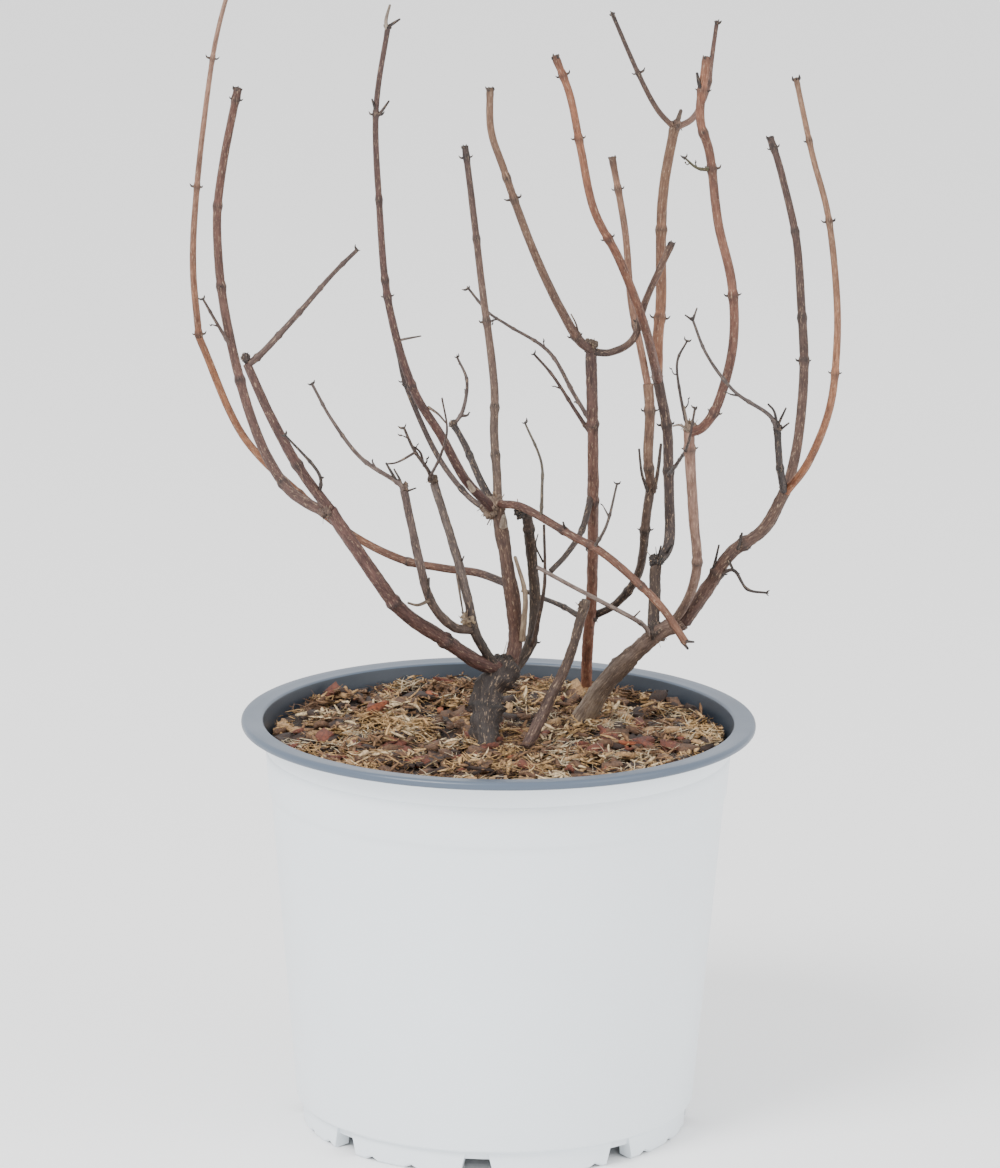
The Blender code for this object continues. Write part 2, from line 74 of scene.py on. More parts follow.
# Each limb: thickness at both ends in millimetres, the bark's colour low and high, how rough it is,
# and the places it passes, as picture column, picture row and depth behind the pot's axis
LIMBS = {
    "stump": (11.0, 13.5, (64, 50, 42), (70, 54, 46), 0.42,
              [(486, 752, -26), (486, 720, -16), (491, 690, -8), (504, 664, 0)]),
    "stem_right": (10.2, 6.6, (186, 168, 144), (128, 98, 84), 0.2,
                   [(576, 728, 24), (609, 680, 14), (650, 638, 6), (684, 621, 2)]),
    "stem_back": (5.0, 5.0, (212, 148, 118), (104, 74, 66), 0.10,
                  [(586, 690, 82), (588, 641, 60), (592, 585, 42), (593, 460, 16), (591, 346, 2)]),
    "stem_slender": (5.2, 4.0, (118, 84, 70), (112, 92, 76), 0.16,
                     [(526, 748, -24), (549, 701, -14), (569, 658, -12), (586, 600, -10)]),
    "stem_middle": (6.6, 6.2, (124, 84, 70), (128, 96, 76), 0.12,
                    [(509, 670, 2), (516, 634, 4), (509, 578, 0), (505, 550, 0), (497, 504, 0)]),
    "stem_middle_right": (5.2, 4.6, (118, 98, 78), (88, 70, 60), 0.14,
                          [(512, 672, 4), (530, 645, 14), (535, 606, 18), (532, 560, 12),
                           (527, 514, -8)]),
    "stem_left": (6.6, 5.7, (122, 82, 72), (116, 78, 68), 0.10,
                  [(497, 668, -6), (476, 661, -14), (446, 641, -24), (400, 609, -38),
                   (366, 563, -46), (330, 510, -50)]),
    "stem_left_inner": (4.4, 3.6, (72, 58, 50), (136, 118, 108), 0.12,
                        [(494, 666, -8), (476, 634, -18), (468, 600, -20), (457, 558, -16),
                         (434, 483, -6)]),
    "stem_left_front": (4.2, 3.5, (122, 102, 88), (108, 86, 80), 0.10,
                        [(470, 630, -19), (452, 626, -30), (431, 602, -44), (419, 560, -56),
                         (404, 490, -62)]),
    "bough_left": (4.8, 3.7, (126, 82, 70), (98, 64, 54), 0.06,
                   [(330, 510, -50), (298, 466, -53), (270, 415, -50), (247, 364, -44)]),
    "cane_left": (4.7, 3.4, (132, 92, 78), (128, 84, 68), 0.04,
                  [(332, 514, -50), (307, 503, -38), (284, 484, -28), (260, 441, -12),
                   (240, 380, 0), (223, 300, 8), (217, 225, 12), (223, 165, 12), (238, 88, 8)]),
    "bough_far_left": (3.6, 3.4, (88, 62, 56), (198, 130, 82), 0.03,
                       [(508, 584, 0), (478, 573, 20), (442, 568, 32), (400, 559, 42),
                        (351, 534, 54), (300, 494, 64), (242, 434, 72), (199, 337, 72)]),
    "cane_far_left": (3.3, 1.8, (196, 132, 92), (192, 154, 132), 0.03,
                      [(199, 337, 72), (193, 265, 66), (197, 186, 58), (208, 90, 48),
                       (218, 30, 40), (236, -36, 30)]),
    "cane_centre_left": (4.3, 2.2, (112, 68, 58), (108, 76, 68), 0.04,
                         [(492, 508, -3), (465, 479, -12), (442, 437, -22), (412, 386, -34),
                          (388, 300, -50), (379, 200, -60), (376, 110, -62), (388, 26, -62)]),
    "cane_thin_left": (2.6, 2.2, (128, 108, 100), (78, 60, 58), 0.05,
                       [(490, 512, 2), (466, 494, 12), (436, 453, 18), (407, 388, 14),
                        (398, 350, 6)]),
    "cane_dark": (3.9, 2.6, (70, 56, 50), (88, 72, 68), 0.08,
                  [(494, 506, 3), (480, 480, 16), (466, 447, 30), (453, 424, 38)]),
    "cane_centre": (4.1, 2.8, (158, 130, 108), (108, 76, 66), 0.04,
                    [(498, 506, 3), (497, 478, 14), (494, 430, 28), (494, 382, 42),
                     (482, 286, 62), (472, 201, 74), (465, 146, 80)]),
    "bough_crossing": (3.6, 3.4, (116, 72, 58), (158, 108, 80), 0.05,
                       [(500, 504, -2), (524, 508, -18), (571, 535, -36), (607, 556, -44),
                        (658, 603, -50), (686, 643, -52)]),
    "bough_slender": (2.6, 2.0, (78, 62, 52), (84, 66, 56), 0.10,
                      [(581, 617, -11), (562, 606, 12), (540, 597, 32), (522, 590, 36)]),
    "cane_back_left": (4.2, 3.0, (104, 74, 64), (168, 128, 98), 0.04,
                       [(591, 350, 2), (576, 336, -6), (549, 286, -24), (526, 232, -36),
                        (504, 170, -44), (491, 130, -48), (490, 88, -48)]),
    "cane_back_right": (3.3, 2.9, (78, 60, 52), (160, 118, 96), 0.06,
                        [(592, 352, 2), (612, 352, 4), (634, 338, 0), (646, 300, -6),
                         (672, 243, -14)]),
    "bough_inner": (2.9, 2.4, (92, 70, 60), (80, 66, 58), 0.08,
                    [(591, 496, 22), (582, 530, 10), (566, 555, -4), (551, 571, -12)]),
    "bough_right": (6.5, 5.0, (112, 80, 70), (136, 100, 78), 0.12,
                    [(684, 621, 2), (707, 589, -4), (732, 552, -12), (765, 528, -16),
                     (788, 484, -18)]),
    "cane_right": (4.7, 3.0, (128, 92, 72), (104, 72, 62), 0.04,
                   [(788, 486, -18), (798, 440, -6), (804, 370, 10), (801, 300, 24),
                    (796, 238, 36), (781, 172, 48), (770, 137, 54)]),
    "cane_far_right": (3.8, 2.3, (192, 118, 70), (206, 160, 124), 0.03,
                       [(786, 492, -18), (809, 461, -34), (830, 407, -48), (837, 343, -56),
                        (836, 285, -57), (828, 215, -54), (812, 153, -48), (796, 78, -40)]),
    "cane_right_short": (3.5, 3.0, (84, 68, 64), (92, 78, 74), 0.07,
                         [(784, 490, -20), (780, 468, -32), (777, 428, -40)]),
    "stem_upright": (5.4, 5.2, (76, 58, 50), (100, 76, 58), 0.16,
                     [(653, 637, 6), (654, 606, 11), (656, 564, 15)]),
    "bough_upright": (4.8, 4.6, (74, 60, 54), (112, 84, 74), 0.07,
                      [(656, 564, 15), (669, 543, 24), (669, 491, 32), (667, 430, 36),
                       (657, 376, 32)]),
    "cane_upright": (4.9, 4.4, (172, 112, 74), (170, 128, 96), 0.04,
                     [(657, 378, 32), (658, 338, 40), (661, 300, 46), (661, 238, 52),
                      (664, 186, 56), (675, 125, 60)]),
    "cane_upright_left": (2.6, 1.7, (150, 112, 92), (98, 80, 74), 0.05,
                          [(674, 128, 60), (657, 109, 52), (638, 73, 42), (612, 13, 30)]),
    "cane_upright_right": (3.0, 1.7, (158, 122, 104), (140, 100, 86), 0.06,
                           [(676, 128, 60), (694, 117, 63), (707, 90, 64), (711, 64, 62),
                            (717, 21, 58)]),
    "cane_orange": (4.3, 3.2, (116, 70, 54), (204, 134, 94), 0.03,
                    [(658, 380, 32), (651, 350, 8), (641, 315, -14), (619, 259, -30),
                     (594, 210, -40), (581, 150, -48), (570, 96, -52), (555, 56, -54)]),
    "bough_dark": (3.4, 4.3, (84, 66, 54), (122, 96, 80), 0.10,
                   [(591, 617, 53), (617, 603, 46), (639, 572, 36), (646, 520, 22),
                    (651, 486, 16)]),
    "bough_tan": (4.2, 4.7, (126, 96, 78), (176, 134, 104), 0.05,
                  [(651, 488, 16), (648, 455, 14), (650, 415, 13), (648, 384, 14)]),
    "cane_tan": (3.4, 3.0, (204, 150, 120), (164, 122, 94), 0.03,
                 [(648, 386, 14), (641, 350, 20), (631, 300, 24), (625, 230, 28), (612, 157, 32)]),
    "stem_pale": (3.9, 4.9, (134, 112, 96), (208, 162, 138), 0.05,
                  [(668, 630, 4), (688, 599, -8), (697, 566, -16), (694, 522, -22),
                   (690, 460, -28), (689, 430, -32)]),
    "cane_curved": (4.2, 3.8, (136, 88, 72), (176, 116, 84), 0.03,
                    [(689, 433, -31), (704, 426, -38), (719, 401, -44), (733, 345, -50),
                     (732, 285, -52), (718, 222, -50), (710, 155, -46), (700, 116, -43),
                     (707, 57, -40)]),
    "bough_grey": (2.2, 1.8, (172, 152, 140), (158, 140, 130), 0.05,
                   [(649, 637, 6), (642, 624, -12), (602, 602, -24), (566, 583, -26),
                    (537, 567, -24)]),
}

# Each mass of twigs: its thickness, its number of side twigs, its colour and the places it passes
TWIGS = {
    "twigs_far_left": (3.1, 0, (122, 96, 86),
                       [(247, 366, -44), (265, 350, -46), (297, 315, -50), (332, 275, -52),
                        (357, 250, -52)]),
    "twigs_left": (1.7, 1, (76, 62, 58), [(320, 494, -51), (318, 472, -58), (285, 435, -60)]),
    "twigs_cane_left": (1.9, 1, (120, 96, 86), [(233, 350, 4), (215, 320, 0), (203, 299, -4)]),
    "twigs_inner": (2.0, 4, (120, 102, 94),
                    [(434, 485, -6), (428, 470, -12), (414, 450, -22), (404, 428, -30)]),
    "twigs_front": (2.2, 1, (134, 114, 106),
                    [(404, 492, -62), (397, 482, -64), (361, 458, -66), (332, 420, -66),
                     (312, 384, -64)]),
    "twigs_dark": (1.9, 3, (128, 110, 104),
                   [(453, 426, 38), (463, 410, 42), (467, 381, 46), (457, 357, 50)]),
    "twigs_crossing": (1.7, 0, (142, 134, 116),
                       [(541, 518, -25), (542, 491, -30), (541, 461, -32), (525, 423, -34)]),
    "twigs_crossing_right": (1.7, 1, (120, 108, 100),
                             [(594, 548, -42), (607, 524, -50), (617, 484, -52)]),
    "twigs_back": (2.0, 1, (112, 84, 76),
                   [(592, 436, 13), (575, 410, 10), (553, 376, 6), (534, 354, 4)]),
    "twigs_back_long": (2.0, 3, (110, 88, 80),
                        [(592, 424, 12), (575, 396, 22), (549, 352, 34), (509, 326, 56),
                         (488, 312, 72), (468, 288, 80)]),
    "twigs_pale": (1.6, 2, (88, 72, 66),
                   [(689, 432, -32), (682, 404, -30), (677, 364, -28), (687, 341, -28)]),
    "twigs_upright": (1.9, 1, (98, 76, 68),
                      [(668, 476, 33), (678, 462, 4), (688, 444, -42), (695, 408, -48)]),
    "twigs_curved": (1.6, 3, (126, 124, 84), [(711, 170, -47), (697, 168, -52), (685, 158, -56)]),
    "twigs_right": (2.0, 1, (118, 104, 100),
                    [(777, 430, -40), (768, 414, -46), (734, 391, -58), (707, 355, -64),
                     (692, 318, -66)]),
    "twigs_under": (1.9, 2, (88, 74, 68),
                    [(714, 580, -6), (733, 570, -14), (747, 589, -18), (767, 593, -20)]),
}

# Rough knots where limbs fork: place, radius in millimetres, colour and number of flakes
KNOTS = [
    ((502, 664, 0), 7.0, (50, 40, 35), 16), ((493, 507, 0), 6.4, (176, 152, 128), 20),
    ((520, 512, -10), 3.6, (58, 46, 40), 6), ((326, 511, -50), 4.3, (124, 98, 84), 12),
    ((656, 632, 5), 5.6, (92, 74, 62), 14), ((656, 561, 15), 4.0, (50, 38, 34), 10),
    ((690, 427, -32), 3.8, (190, 164, 140), 12), ((591, 346, 2), 4.0, (112, 94, 76), 10),
    ((468, 620, -20), 4.2, (206, 182, 146), 14), ((592, 616, 52), 3.8, (82, 62, 52), 8),
    ((786, 487, -18), 3.6, (118, 86, 70), 4), ((246, 358, -44), 2.6, (72, 56, 50), 6),
    ((651, 487, 16), 3.2, (140, 116, 98), 8), ((676, 125, 60), 3.1, (132, 104, 88), 6),
    ((657, 377, 32), 3.2, (86, 64, 54), 6), ((404, 487, -62), 2.7, (122, 98, 82), 6),
    ((433, 479, -7), 2.7, (134, 112, 92), 6), ((453, 424, 38), 2.3, (126, 106, 92), 5),
    ((777, 427, -40), 2.6, (86, 70, 64), 5), ((583, 606, -10), 3.1, (122, 100, 80), 8),
]

# How finely limbs, twigs and buds are made: the step along them in millimetres and their sides,
# and the rings of a strip of bark or wood
STEM_STEP = 1.3
TWIG_STEP = 1.2
TWIGLET_STEP = 0.8
STEM_SIDES = 14
TWIG_SIDES = 8
FINE_SIDES = 6
STRIP_RINGS = 5

# Growth, in millimetres: the gap between nodes and the tip that has none, the swollen ring at a
# node and the pale groove past it, the dark and swollen end of a cane, and the rings and side
# twigs of a twig. Most buds of a pair still stand.
INTERNODE = (40.0, 62.0)
BARE_TIP = 12.0
RING_WIDTH = 1.6
GROOVE_GAP = 2.2
GROOVE_WIDTH = 0.5
TIP_LENGTH = 8.0
TIP_SWELL = 2.4
TWIG_RING_GAP = (13, 18)
TWIG_RING_WIDTH = 0.9
SIDE_TWIG_LENGTHS = (4.0, 9.0)
BUD_CHANCE = 0.9

# Screen colours of buds and of loose bark, and the share of its light that bark throws back
NODE_BUD = (62, 48, 44)
TIP_BUD = (58, 45, 42)
SIDE_TWIG_BUD = (66, 54, 50)
TWIG_BUD = (70, 60, 56)
FLAKE_TONES = [(236, 214, 180), (150, 124, 102), (84, 66, 58), (200, 170, 140)]
BARK_SHARE = 0.52

# The pot, in millimetres: its raised floor, its wall, its rim's depth, the radii of the rolls under
# the rim, over it and at its inner lip, and the radius past which the rim's own colour starts
FLOOR_RISE = 7.0
FLOOR_THICKNESS = 2.0
WALL_THICKNESS = 1.6
RIM_DEPTH = 3.4
UNDER_ROLL = 1.4
RIM_ROLL = 1.6
LIP_ROLL = 1.3
RIM_START = 103.5
SPIN_STEPS = 160

# The pot's collar, as heights and how far the wall stands out there from its plain cone: the step,
# the collar, the groove above it and the band under the rim
COLLAR = [(149.4, 0.0), (150.4, 0.466), (152.0, 0.8), (158.0, 0.8), (165.0, 0.8), (168.6, 0.8),
          (169.2, 0.433), (170.0, 0.8), (176.0, 1.0)]

# The pot's foot: its inner radius in millimetres, the direction of the first notch, the half width
# of a notch in radians at the floor, between and at the wall, the steps across half a block, and
# the nicks under each block
FOOT_INNER = 78.0
FIRST_NOTCH = math.radians(-95.0)
NOTCH_HALVES = (0.085, 0.07, 0.055)
BLOCK_STEPS = 8
NICKED_STEPS = (-5, 1, 6)
NICK_HEIGHT = 1.6

# The mulch: how far out it reaches, how the shreds of one tuft scatter, and how much chips lean
MULCH_REACH = 99.2
TUFT_SCATTER = (2.8, 2.8, 0.9)
NEW_TUFT_CHANCE = 0.08
CHIP_LEAN = 0.28

# The soil under it: radius and height where it meets the pot, how far its top lies below the
# mulch's surface, and how finely it is made
SOIL_SIDE = [(81.0, 9.4), (85.5, 20.0), (97.8, 160.0)]
SOIL_SINK = 1.2
SOIL_COLOUR = (48, 35, 28)
SOIL_RINGS = 60
SOIL_STEPS = 120

LIMB_SEED = 7
TWIG_SEED = 90
KNOT_SEED = 3
MULCH_SEED = 21

# Where rings and bud pairs sit on a limb, by picture place, and 1 where the pair spreads across it
NODES = {
    "bough_far_left": [(409, 562, 1), (300, 494, 0)],
    "cane_far_left": [(199, 333, 1), (196, 186, 1), (211, 57, 1)],
    "cane_left": [(284, 484, 0), (240, 380, 0), (222, 286, 0), (218, 205, 0), (237, 99, 1)],
    "bough_left": [(298, 466, 0)],
    "cane_centre_left": [(412, 386, 1), (387, 296, 1), (385, 281, 0), (379, 200, 0), (375, 116, 1)],
    "cane_centre": [(494, 455, 1), (494, 407, 0), (488, 322, 1), (478, 240, 0), (467, 159, 1)],
    "stem_left": [(446, 641, 0), (396, 601, 0)],
    "stem_middle_right": [(539, 642, 1), (528, 528, 0)],
    "bough_crossing": [(591, 545, 1), (563, 532, 0), (640, 588, 0)],
    "cane_back_left": [(576, 336, 1), (515, 197, 1), (507, 176, 0)],
    "cane_orange": [(607, 240, 1), (580, 137, 1), (562, 77, 1)],
    "cane_tan": [(636, 325, 0), (617, 188, 1)],
    "cane_upright": [(659, 318, 1), (662, 230, 0)],
    "cane_upright_left": [(638, 73, 1)],
    "cane_curved": [(713, 412, 1), (733, 294, 1), (712, 169, 1), (703, 134, 0), (702, 92, 1)],
    "stem_pale": [(698, 562, 0), (690, 448, 1)],
    "bough_tan": [(647, 470, 0), (649, 412, 1)],
    "bough_upright": [(668, 470, 0), (667, 425, 1)],
    "bough_right": [(716, 572, 1), (744, 542, 1)],
    "cane_right": [(804, 361, 1), (801, 319, 0), (795, 232, 0), (774, 147, 1)],
    "cane_far_right": [(834, 372, 1), (829, 223, 1), (810, 140, 1)],
    "stem_back": [(593, 500, 0), (592, 425, 0)],
    "bough_dark": [(627, 590, 0), (645, 530, 1)],
    "cane_back_right": [(640, 322, 1)],
}

# Short twigs and stubs: thickness in millimetres, colour and places
TWIGLETS = [
    (1.1, (122, 106, 98), [(401, 340, -45), (410, 338, -46), (421, 336, -48)]),
    (1.2, (112, 90, 80), [(428, 407, -28), (438, 414, -30), (446, 423, -32)]),
    (1.4, (112, 86, 78), [(431, 475, -10), (440, 457, -30), (447, 430, -44), (442, 398, -48)]),
    (1.2, (128, 108, 92), [(457, 574, -18), (460, 594, -24), (463, 613, -24)]),
    (0.9, (84, 70, 62), [(461, 563, -16), (464, 556, -20)]),
    (1.6, (150, 132, 112), [(430, 600, -46), (418, 605, -50), (408, 603, -54)]),
    (1.5, (98, 82, 74), [(428, 597, -48), (429, 578, -54)]),
    (1.2, (82, 68, 62), [(402, 488, -62), (400, 480, -64), (394, 469, -66)]),
    (1.1, (82, 68, 62), [(405, 492, -62), (416, 488, -64)]),
    (2.9, (214, 190, 158), [(522, 640, 2), (524, 620, -2), (525, 592, -4), (515, 557, -3)]),
    (1.9, (112, 90, 78), [(531, 646, 12), (535, 634, 10), (543, 596, 4), (545, 571, 0),
                          (544, 525, -4)]),
    (0.9, (80, 66, 60), [(543, 562, 0), (536, 546, -5), (538, 534, -7)]),
    (3.2, (255, 240, 214), [(503, 526, -3), (504, 516, -9)]),
    (2.6, (250, 230, 200), [(473, 490, -12), (468, 482, -16)]),
    (1.9, (70, 54, 48), [(682, 641, -52), (688, 649, -53)]),
    (1.6, (70, 54, 48), [(682, 641, -52), (694, 642, -55)]),
    (1.3, (78, 62, 54), [(566, 531, -34), (563, 522, -37)]),
    (1.0, (128, 104, 92), [(580, 340, -4), (576, 324, -10), (571, 314, -12)]),
    (1.8, (206, 190, 170), [(387, 30, -62), (386, 20, -63), (390, 5, -64)]),
    (1.4, (70, 54, 50), [(389, 26, -62), (400, 19, -63)]),
    (1.3, (66, 52, 48), [(377, 116, -62), (372, 99, -64)]),
    (1.5, (84, 66, 60), [(377, 117, -62), (382, 111, -63), (389, 101, -64)]),
    (2.6, (126, 102, 84), [(676, 126, 60), (681, 110, 60)]),
    (2.0, (58, 44, 42), [(704, 94, -42), (699, 84, -43), (697, 73, -44)]),
    (1.3, (208, 190, 168), [(688, 430, -34), (680, 425, -36), (673, 426, -36)]),
    (1.2, (196, 176, 154), [(688, 428, -34), (684, 406, -38)]),
    (1.6, (92, 76, 68), [(648, 492, 15), (642, 474, 8), (639, 449, 4)]),
    (2.0, (110, 88, 76), [(654, 492, 15), (658, 470, 6), (661, 444, 2)]),
    (1.6, (60, 46, 42), [(666, 554, 20), (672, 545, 14)]),
    (1.4, (60, 46, 42), [(657, 562, 14), (661, 546, 8)]),
    (1.6, (66, 52, 46), [(738, 549, -16), (742, 533, -20)]),
    (1.5, (66, 52, 46), [(712, 574, -8), (716, 558, -12), (719, 545, -14)]),
    (1.5, (66, 52, 46), [(728, 560, -13), (734, 571, -18)]),
    (1.4, (78, 64, 60), [(777, 424, -42), (774, 411, -46), (768, 404, -48)]),
    (1.4, (78, 64, 60), [(777, 427, -41), (786, 408, -46)]),
    (1.2, (78, 64, 60), [(780, 430, -40), (789, 423, -44)]),
    (1.1, (96, 84, 80), [(692, 320, -66), (685, 315, -67)]),
    (1.1, (96, 84, 80), [(693, 320, -66), (697, 308, -67)]),
    (1.0, (140, 124, 116), [(632, 619, -14), (640, 611, -18)]),
    (1.5, (60, 48, 44), [(397, 482, -64), (386, 463, -66)]),
    (1.2, (110, 92, 84), [(416, 452, -22), (398, 462, -28), (386, 464, -30)]),
    (1.2, (120, 100, 92), [(424, 466, -14), (420, 452, -18), (410, 444, -24)]),
]

# Kinds of mulch: colour, shape, share of the count, and how patchy it lies, from -1 for evenly
LITTER = {
    "mulch_red_bark": ((112, 62, 46), "chip", 0.1, 0.2),
    "mulch_brown_bark": ((104, 76, 56), "chip", 0.3, -0.3),
    "mulch_dark_bark": ((58, 42, 35), "chip", 0.34, -0.3),
    "mulch_orange_bark": ((150, 84, 54), "chip", 0.02, 0.2),
    "mulch_tan_bark": ((176, 140, 98), "chip", 0.16, -0.2),
    "mulch_gold_shreds": ((196, 158, 108), "shred", 0.42, -0.1),
    "mulch_pale_shreds": ((222, 196, 154), "shred", 0.24, 0.0),
    "mulch_brown_shreds": ((136, 102, 70), "shred", 0.34, -0.3),
    "mulch_straw": ((230, 212, 178), "fibre", 0.3, 0.02),
    "mulch_gold_fibres": ((198, 160, 110), "fibre", 0.4, -0.15),
    "mulch_brown_fibres": ((112, 82, 58), "fibre", 0.3, -0.4),
}


def linear(colour):
    """A 0-255 screen colour as linear light."""
    parts = [c / 255 for c in colour]
    return tuple(c / 12.92 if c <= 0.04045 else ((c + 0.055) / 1.055) ** 2.4 for c in parts)


class Value:
    """A shader socket that adds Math nodes when it is used in an expression."""

    def __init__(self, shading, socket):
        self.shading = shading
        self.socket = socket

    def math(self, operation, *values):
        return self.shading.node("ShaderNodeMath", {"operation": operation}, *values)

    def __add__(self, other):
        return self.math("ADD", self, other)

    __radd__ = __add__

    def __mul__(self, other):
        return self.math("MULTIPLY", self, other)

    __rmul__ = __mul__

    def __sub__(self, other):
        return self.math("SUBTRACT", self, other)

    def __rsub__(self, other):
        return self.math("SUBTRACT", other, self)


class Shading:
    """One material's node tree: its Principled shader and a method that adds any other node."""

    def __init__(self, name, roughness=0.6):
        self.material = bpy.data.materials.new(name)
        self.material.use_nodes = True
        self.tree = self.material.node_tree
        self.shader = self.tree.nodes["Principled BSDF"]
        self.shader.inputs["Roughness"].default_value = roughness

    def link(self, socket, value):
        """Link a value to a socket, or set the socket to a plain number or colour."""
        if isinstance(value, Value):
            self.tree.links.new(value.socket, socket)
        else:
            socket.default_value = value

    def node(self, kind, settings, *values, output=0, **named):
        """Add a node, set it up, feed its sockets in order or by identifier, and give an output."""
        made = self.tree.nodes.new(kind)
        for key, setting in settings.items():
            setattr(made, key, setting)
        for socket, value in zip(made.inputs, values):
            self.link(socket, value)
        sockets = {socket.identifier: socket for socket in made.inputs}
        for key, value in named.items():
            self.link(sockets[key], value)
        return Value(self, made.outputs[output])

    def noise(self, vector, scale, detail=4.0, roughness=0.6):
        """A noise pattern at a scale per metre."""
        return self.node("ShaderNodeTexNoise", {}, Vector=vector, Scale=scale, Detail=detail,
                         Roughness=roughness)

    def scaled(self, vector, scale):
        """Coordinates that are stretched along one of their axes."""
        return self.node("ShaderNodeVectorMath", {"operation": "MULTIPLY"}, vector, scale)

    def tinted(self, colour, share, other, blend="MIX"):
        """A colour with a share of another one mixed or multiplied in."""
        return self.node("ShaderNodeMix", {"data_type": "RGBA", "blend_type": blend}, output=2,
                         Factor_Float=share, A_Color=colour, B_Color=other)

    def levels(self, value, low, high):
        """Noise spread from low to high, where it usually lies between 0.3 and 0.7."""
        return self.node("ShaderNodeMapRange", {}, value, 0.3, 0.7, low, high)

    def place(self):
        """Object coordinates."""
        return self.node("ShaderNodeTexCoord", {}, output=3)

    def finish(self, colour, roughness=None, height=None, depth=0.0, strength=1.0):
        """Feed the shader and return the material; height is a bump of a depth in metres."""
        self.link(self.shader.inputs["Base Color"], colour)
        if roughness is not None:
            self.link(self.shader.inputs["Roughness"], roughness)
        if height is not None:
            bump = self.node("ShaderNodeBump", {}, Strength=strength, Distance=depth,
                             Height=height)
            self.link(self.shader.inputs["Normal"], bump)
        return self.material


def bark_finish():
    """Bark: streaks along the limb, dark and pale specks, and a fine fibrous bump."""
    s = Shading("bark_skin")
    tone = s.node("ShaderNodeAttribute", {"attribute_name": "tone"})
    grain = s.node("ShaderNodeAttribute", {"attribute_name": "grain"}, output=1)
    streaks = s.noise(s.scaled(grain, (1, 1, 0.12)), scale=1100.0, detail=5.0, roughness=0.7)
    patches = s.noise(s.scaled(grain, (1, 1, 0.5)), scale=260.0, roughness=0.7)
    specks = s.noise(s.scaled(grain, (1, 1, 0.25)), scale=1500.0, roughness=0.7)
    dark_patch, dark_streak = (0.5, 0.45, 0.46, 1), (0.4, 0.33, 0.31, 1)
    pale_speck = (*(0.62 * c for c in linear((214, 182, 150))), 1)
    colour = s.tinted(tone, s.levels(patches, -0.25, 1.1), dark_patch, "MULTIPLY")
    colour = s.tinted(colour, s.levels(streaks, -0.15, 1.05), dark_streak, "MULTIPLY")
    colour = s.tinted(colour, s.levels(specks, -1.2, 0.62), pale_speck)
    height = 0.4 * specks - 0.8 * streaks
    return s.finish(colour, s.levels(streaks, 0.55, 0.8), height, depth=0.0006)


def litter_finish(name, colour):
    """One colour of mulch, with fibres and darker pores."""
    s = Shading(name, 0.85)
    place = s.place()
    fibres = s.noise(s.scaled(place, (1, 0.35, 1)), scale=900.0, detail=5.0, roughness=0.7)
    clouds = s.noise(place, scale=160.0, detail=3.0)
    pale = linear(colour)
    pore = tuple(0.2 * c for c in pale)
    damp = (0.55, 0.44, 0.38, 1)
    tint = s.tinted((*pale, 1), s.levels(fibres, -0.35, 0.95), (*pore, 1))
    tint = s.tinted(tint, s.levels(clouds, -0.3, 0.6), damp, "MULTIPLY")
    return s.finish(tint, s.levels(fibres, 0.95, 0.75), fibres, depth=0.0007)


def plastic_finish(name, colour, roughness):
    """Injection-moulded plastic: a faint grain, slight unevenness and light dust."""
    s = Shading(name, roughness)
    place = s.place()
    grain = s.noise(place, scale=1800.0, detail=2.0)
    cloud = s.noise(place, scale=14.0, detail=3.0)
    dusty = linear([0.95 * c for c in colour])
    tint = s.tinted((*linear(colour), 1), s.levels(cloud, 0.0, 0.3), (*dusty, 1))
    rough = s.levels(cloud, roughness - 0.04, roughness + 0.08)
    return s.finish(tint, rough, grain, depth=0.00006, strength=0.4)


def seen(column, row, depth):
    """The point behind a place in the picture, at a depth behind the pot's axis, in millimetres."""
    across = column - FRAME_WIDTH / 2
    down = row - FRAME_HEIGHT / 2
    across, down = across + ROLL * down, down - ROLL * across
    ray = FORWARD + Vector((across / FOCAL, 0, 0)) - (down / FOCAL) * UPWARD
    return EYE + ray * ((depth - EYE.y) / ray.y)


def pictured(point):
    """The column and row at which a point in millimetres is seen, as the inverse of seen."""
    ray = Vector(point) - EYE
    away = ray.dot(FORWARD)
    across = FOCAL * ray.x / away
    down = -FOCAL * ray.dot(UPWARD) / away
    return Vector((FRAME_WIDTH / 2 + across - ROLL * down, FRAME_HEIGHT / 2 + down + ROLL * across))


def smooth_route(places, step):
    """The smooth curve through places in the picture, as smooth_through gives it."""
    return smooth_through([seen(*place) for place in places], step)


def smooth_through(knots, step):
    """Evenly spaced points on a smooth curve through the knots, and how far along each one is."""
    knots = [2 * knots[0] - knots[1], *knots, 2 * knots[-1] - knots[-2]]
    fine = []
    for a, b, c, d in zip(knots, knots[1:], knots[2:], knots[3:]):
        for t in np.linspace(0, 1, 12, endpoint=False):
            fine.append(0.5 * (2 * b + (c - a) * t + (2 * a - 5 * b + 4 * c - d) * t ** 2
                               + (3 * b - a - 3 * c + d) * t ** 3))
    fine.append(knots[-2].copy())
    line = np.array([tuple(p) for p in fine])
    reach = np.concatenate([[0], np.cumsum(np.linalg.norm(np.diff(line, axis=0), axis=1))])
    count = max(4, round(reach[-1] / step) + 1)
    even = np.linspace(0, reach[-1], count)
    return np.stack([np.interp(even, reach, line[:, i]) for i in range(3)], axis=1), even


